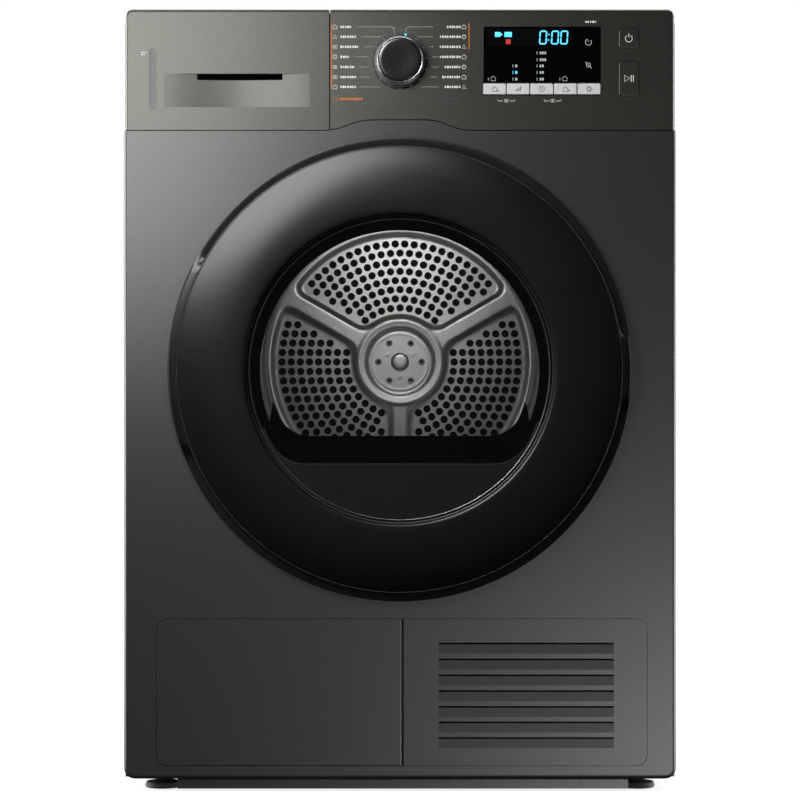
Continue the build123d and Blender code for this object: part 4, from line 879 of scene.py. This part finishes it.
def display():
    """Figures, symbols and level marks on the display glass, and the plain marks round it."""
    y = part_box("display_window")[0][1] / MM
    cyan, white, red, field = Inlay(y - 0.05), Inlay(y - 0.05), Inlay(y - 0.05), Inlay(y + 0.1)
    field.bar(140.6, 818.8, 92.2, 19.1, 0.6)
    zero = ("top", "bottom", "upper_left", "upper_right", "lower_left", "lower_right")
    for x in (151.4, 164.3, 174.2):
        digit(cyan, x, 811.9, 6.9, 13.6, zero)
    cyan.bar(161.6, 822.0, 1.3, 1.5)
    cyan.bar(161.1, 816.0, 1.3, 1.5)
    cyan.prism([(103, 819.4), (108.4, 819.4), (111.1, 822), (108.4, 824.6), (103, 824.6)])
    cyan.bar(117.3, 822.0, 8.0, 5.4, 0.6)
    red.bar(117.4, 814.2, 5.2, 5.2, 0.6)
    for row, z in enumerate(LEVEL_Z[2:]):
        mark = cyan if row == 1 else white
        mark.bar(122.5, z, 0.55, 3.2)
        mark.bar(126.1, z, 2.0, 2.9, 0.3)
    for z in LEVEL_Z:
        white.bar(148.7, z, 0.55, 3.2)
        for i in range(3 if z in LEVEL_Z[:2] else 2):
            white.bar(152.5 + 2.5 * i, z, 1.7, 2.8, 0.3)
    for x in (97.2, 174.8):
        white.bar(x - 1.4, 773.6, 0.55, 3.0)
        symbol(white, x + 4.0, 774.2, HOUSE, 2.4)
    white.circle(204.4, 813.7, 3.3, 0.55, 100, 400)
    white.stroke([(204.4, 813.7), (204.4, 815.6)], 0.5)
    white.circle(204.4, 788.9, 2.3, 0.5, 0, 360)
    white.stroke([(201.0, 792.4), (207.8, 785.2)], 0.5)
    field.bar(204.4, 801.3, 19.0, 0.5)
    cyan.done("display_lit_cyan", LIT_CYAN, "cabinet", "display_glass")
    white.done("display_lit_white", LIT_WHITE, "cabinet", "display_glass")
    red.done("display_lit_red", LIT_RED, "cabinet", "display_glass")
    field.done("display_field", DISPLAY_FIELD, "cabinet", "display_glass")
    around = Inlay(FRONT)
    word(around, 201.0, 835.8, 5, 2.2)
    for x in (106.2, 156.4):
        around.stroke([(x, 751.6), (x, 749.9), (x + 5.4, 749.9)], 0.4)
        around.stroke([(x + 18.2, 751.6), (x + 18.2, 749.9), (x + 12.8, 749.9)], 0.4)
        symbol(around, x + 9.1, 750.2, BOX, 1.9, 0.4)
    around.done("display_surround_marks", GLOWING_INK_WHITE, "cabinet", "silver_plastic")


def button_marks():
    """Plain symbols printed on the buttons."""
    for number in range(5):
        name = f"option_button_{number + 1}"
        low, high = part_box(name)
        x = (low[0] + high[0]) / 2 / MM
        z = (low[2] + high[2]) / 2 / MM
        marks = Inlay(low[1] / MM)
        if number == 1:
            for step in range(4):
                marks.bar(x - 2.7 + 1.8 * step, z - 2.0 + 0.7 * step, 0.7, 1.0 + 1.4 * step)
        elif number == 2:
            marks.circle(x, z, 2.9, 0.5, 100, 440)
            marks.stroke([(x, z + 1.8), (x, z), (x + 1.6, z)], 0.5)
        elif number == 4:
            marks.circle(x, z, 1.9, 0.5)
            for turn in range(8):
                a = math.radians(45 * turn)
                marks.bar(x + 3.0 * math.cos(a), z + 3.0 * math.sin(a), 0.7, 0.7)
        else:
            symbol(marks, x, z - 0.3, HOUSE, 2.4, 0.5)
            marks.bar(x + 3.6, z - 1.8, 1.4, 1.4)
        marks.done(f"{name}_mark", INK_DARK, name, "silver_plastic")
    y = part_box("power_button")[0][1] / MM
    power = Inlay(y)
    power.circle(POWER[0], POWER[1] - 0.4, 3.7, 0.55, 125, 415)
    power.bar(POWER[0], POWER[1] + 3.0, 0.6, 4.0, 0.2)
    power.done("power_mark", GLOWING_INK_WHITE, "power_button", "silver_plastic")
    start = Inlay(y)
    x, z = START
    start.stroke([(x - 4.6, z - 3.5), (x - 4.6, z + 3.5), (x + 1.0, z)], 0.6, closed=True)
    start.bar(x + 2.6, z, 0.7, 7.2, 0.2)
    start.bar(x + 4.9, z, 0.7, 7.2, 0.2)
    start.done("start_mark", GLOWING_INK_WHITE, "start_button", "silver_plastic")


def dial():
    """The skirt ring round the dial, its ticks, and the lit pointer."""
    ticks, lit = Inlay(FRONT - 2), Inlay(FRONT - 2)
    for turn in range(0, 360, TICK_STEP):
        a = math.radians(turn + POINTER_ANGLE)
        reach = ((29.2 * math.cos(a), 29.2 * math.sin(a)), (30.3 * math.cos(a), 30.3 * math.sin(a)))
        (lit if turn == 0 else ticks).stroke([(x, KNOB_Z + z) for x, z in reach], 0.6)
    a = math.radians(POINTER_ANGLE)
    tip = Vector((math.cos(a), math.sin(a)))
    side = Vector((-tip.y, tip.x))
    base = Vector((0, KNOB_Z)) + tip * 30.2
    lit.prism([base - side * 1.6, base - tip * 2.6, base + side * 1.6])
    ticks.done("dial_ticks", GLOWING_INK_LINE, "cabinet", "silver_plastic")
    lit.done("dial_pointer", LIT_CYAN, "cabinet", "display_glass")
    skirt = [(27.6, -0.2), (27.6, 1.7), (28.0, 2.12), (30.2, 2.12), (30.6, 1.7), (30.6, -0.2)]
    vertices, faces = revolve(skirt, (0, FRONT, KNOB_Z), 128)
    piece("dial_skirt", vertices, faces, SKIRT, "cabinet")


def knob():
    """The dial: a satin black face with a soft edge inside a bright turned bezel."""
    face = [
        (0.01, 0.7), (24.6, 0.7), (24.2, 10), (23.6, 15.2), (22.9, 16.1), (21.8, 16.6), (19, 16.75),
        (12, 16.2), (5, 15.95), (0.01, 15.9),
    ]
    vertices, faces = revolve(face, (0, FRONT, KNOB_Z), 128)
    piece("dial_face", vertices, faces, KNOB_BLACK, "program_knob",
          stands_for=["knob_cap"])
    bezel = [
        (24.7, 0.6), (26.7, 0.6), (26.7, 9.0), (26.4, 10.6), (25.6, 12.6), (25.0, 14.6), (24.6, 15.6),
        (24.1, 16.0), (23.7, 15.7), (24.3, 10),
    ]
    vertices, faces = revolve(bezel, (0, FRONT, KNOB_Z), 128)
    piece("dial_bezel", vertices, faces, CHROME, "program_knob",
          stands_for=["knob_bezel"])


def grip_shadow():
    """Black sheet at the back of the drawer's finger pocket: painted shade for the dark slot."""
    shade_sheet = Inlay(FRONT)
    outline = [(-220.0, 773.2), (-128.1, 773.2), (-128.1, 793.2), (-220.0, 793.2)]
    # Painted shade under the pocket's overhang.
    shade_sheet.plate(outline, FRONT + 19.2, FRONT + 19.8)
    shade_sheet.done("grip_shade_sheet", SHELF_AND_SHADE, "tank_drawer", "black_plastic")


def level_strip():
    """The frosted level window in its slot on the drawer, and the small marks beside it."""
    strip = Inlay(FRONT + 1.2)
    strip.bar(-268.05, 774.0, 7.3, 65.4, 3.0)
    strip.done("level_window", LEVEL, "tank_drawer", "silver_plastic")
    marks = Inlay(FRONT)
    word(marks, -281.6, 802.8, 3, 1.2)
    word(marks, -280.6, 800.4, 2, 1.6)
    marks.done("level_marks", GLOWING_INK_WHITE, "tank_drawer", "silver_plastic")


legend()
display()
button_marks()
dial()
knob()
level_strip()
grip_shadow()

# ------------------------------------------------------------------ stage, lights, camera
CAMERA_DISTANCE, CAMERA_Z = 3.0, 0.4255
VIEW_SPAN = 0.868
SENSOR = 36.0
FLOOR_HALF = 30.0
PAPER_GLOW = 0.80
AMBIENT = 0.010


def studio_material(name, color, roughness):
    """Bright paper for the floor: lit from within, as a white sweep is, and shaded on top."""
    material, node = shader(name, color, roughness=roughness)
    node.inputs["Emission Color"].default_value = (1, 1, 1, 1)
    node.inputs["Emission Strength"].default_value = PAPER_GLOW
    return material


def floor():
    """A wide pale floor."""
    mesh = bpy.data.meshes.new("floor")
    corners = [(sx * FLOOR_HALF, sy * FLOOR_HALF, 0) for sx, sy in ((-1, -1), (1, -1), (1, 1), (-1, 1))]
    mesh.from_pydata(corners, [], [(0, 1, 2, 3)])
    mesh.materials.append(studio_material("floor_paper", (0.86, 0.86, 0.86), 0.9))
    thing = bpy.data.objects.new("floor", mesh)
    SCENE.collection.objects.link(thing)
    thing.visible_glossy = False
    thing.visible_diffuse = False
    thing.visible_shadow = False


def sun(name, turn, strength, angle):
    """A wide, even light from above."""
    data = bpy.data.lights.new(name, "SUN")
    data.energy = strength
    data.angle = angle
    thing = bpy.data.objects.new(name, data)
    thing.rotation_euler = turn
    SCENE.collection.objects.link(thing)
    return thing


def lamp(name, place, aim, size, power, color=(1, 1, 1), shape="RECTANGLE"):
    """An area light that the camera doesn't see."""
    data = bpy.data.lights.new(name, "AREA")
    data.shape = shape
    data.size = size[0]
    if shape == "RECTANGLE":
        data.size_y = size[1]
    data.energy = power
    data.color = color
    thing = bpy.data.objects.new(name, data)
    thing.location = place
    thing.rotation_euler = (Vector(aim) - Vector(place)).to_track_quat("-Z", "Y").to_euler()
    thing.visible_camera = False
    SCENE.collection.objects.link(thing)
    return thing


def linked(light, names, state):
    """Give a light its own list of objects, and say whether it shines on them."""
    group = bpy.data.collections.new(f"{light.name}_{state.lower()}")
    for name in names:
        group.objects.link(bpy.data.objects[name])
    light.light_linking.receiver_collection = group
    for entry in group.collection_objects:
        entry.light_linking.link_state = state


def keep_off(light, names):
    """The light does not shine on these objects."""
    linked(light, names, "EXCLUDE")


def only_on(light, names):
    """The light shines on nothing but these objects."""
    linked(light, names, "INCLUDE")


def world():
    """White to the camera, dim grey to everything else."""
    sky = bpy.data.worlds.new("studio")
    sky.use_nodes = True
    SCENE.world = sky
    tree = sky.node_tree
    tree.nodes.clear()
    out = tree.nodes.new("ShaderNodeOutputWorld")
    mix = tree.nodes.new("ShaderNodeMixShader")
    path = tree.nodes.new("ShaderNodeLightPath")
    seen = tree.nodes.new("ShaderNodeBackground")
    seen.inputs["Color"].default_value = (1, 1, 1, 1)
    seen.inputs["Strength"].default_value = 1.0
    dim = tree.nodes.new("ShaderNodeBackground")
    dim.inputs["Color"].default_value = (1, 1, 1, 1)
    dim.inputs["Strength"].default_value = AMBIENT
    tree.links.new(path.outputs["Is Camera Ray"], mix.inputs["Fac"])
    tree.links.new(dim.outputs["Background"], mix.inputs[1])
    tree.links.new(seen.outputs["Background"], mix.inputs[2])
    tree.links.new(mix.outputs["Shader"], out.inputs["Surface"])


def camera():
    """Straight in front, from about three metres."""
    data = bpy.data.cameras.new("camera")
    data.sensor_width = SENSOR
    data.lens = SENSOR * CAMERA_DISTANCE / VIEW_SPAN
    thing = bpy.data.objects.new("camera", data)
    thing.location = (0.0, FRONT * MM - CAMERA_DISTANCE, CAMERA_Z)
    thing.rotation_euler = (math.pi / 2, 0, 0)
    data.clip_end = 100
    SCENE.collection.objects.link(thing)
    SCENE.camera = thing


floor()
world()
camera()
upper_left = lamp("upper_left", (-0.373, -0.791, 0.819), (0.103, -0.270, 0.536), (0.53, 0.53), 1.6)
lower_right = lamp("lower_right", (0.625, -2.0, -0.294), (0.060, -0.274, 0.073), (0.30, 0.30), 2.3)
ring_light = lamp("ring_light", (-1.093, -1.33, 1.937), (-0.12, -0.30, 0.58), (1.8, 1.8), 84)
ring_fill = lamp("ring_fill", (0.6, -4.0, 0.2), (0, -0.3, 0.45), (6.0, 6.0), 7)
knob_light = lamp("knob_light", (-0.55, -0.95, 1.25), (0, -0.30, 0.79), (0.5, 0.5), 9.0)
left_rim = lamp("left_rim", (-2.2, -0.45, 0.62), (-0.30, -0.28, 0.56), (0.6, 1.6), 12)
right_rim = lamp("right_rim", (2.2, -0.45, 0.02), (0.30, -0.28, 0.20), (0.6, 1.0), 7.5)
button_light = lamp("button_light", (0.0, -1.2, 1.3), (0.15, -0.28, 0.763), (0.6, 0.6), 12)
ring_top = lamp("ring_top", (0.085, -1.66, 2.50), (-0.12, -0.30, 0.58), (0.52, 0.52), 2.3)
drum_top = lamp("drum_top", (0.0, -0.12, 0.65), (0, 0.24, 0.52), (0.16, 0.10), 0.13)
lamp("drum_fill", (0.0, -0.14, 0.50), (0, 0.24, 0.46), (0.16, 0.16), 0.10)
drum_top.data.spread = math.radians(110)
lamp("back_wash", (0.8, 3.0, 1.5), (0, 0.3, 0.45), (2.4, 2.4), 55)
lamp("top_wash", (0.0, 1.0, 2.9), (0, 0.0, 0.85), (2.6, 2.6), 50)
lamp("left_wash", (-2.7, 1.0, 1.1), (-0.3, 0, 0.45), (2.4, 2.4), 45)
lamp("right_wash", (2.7, 1.0, 1.1), (0.3, 0, 0.45), (2.4, 2.4), 45)
floor_sun = sun("floor_sun", (0.15, 0.1, 0), 1.3, 1.2)
RING_PARTS = ("door_ring_shell", "door_fine_line", "window_trim_outer", "window_trim_inner")
KNOB_PARTS = ("dial_bezel", "dial_face", "dial_skirt")
keep_off(upper_left, RING_PARTS)
keep_off(lower_right, RING_PARTS)
only_on(ring_light, RING_PARTS + KNOB_PARTS)
only_on(ring_top, RING_PARTS)
only_on(ring_fill, RING_PARTS)
only_on(knob_light, KNOB_PARTS)
only_on(button_light, tuple(f"option_button_{number}" for number in range(1, 6)))
keep_off(left_rim, RING_PARTS)
keep_off(right_rim, RING_PARTS)
only_on(floor_sun, ("floor",))

SCENE.view_settings.view_transform = "Standard"
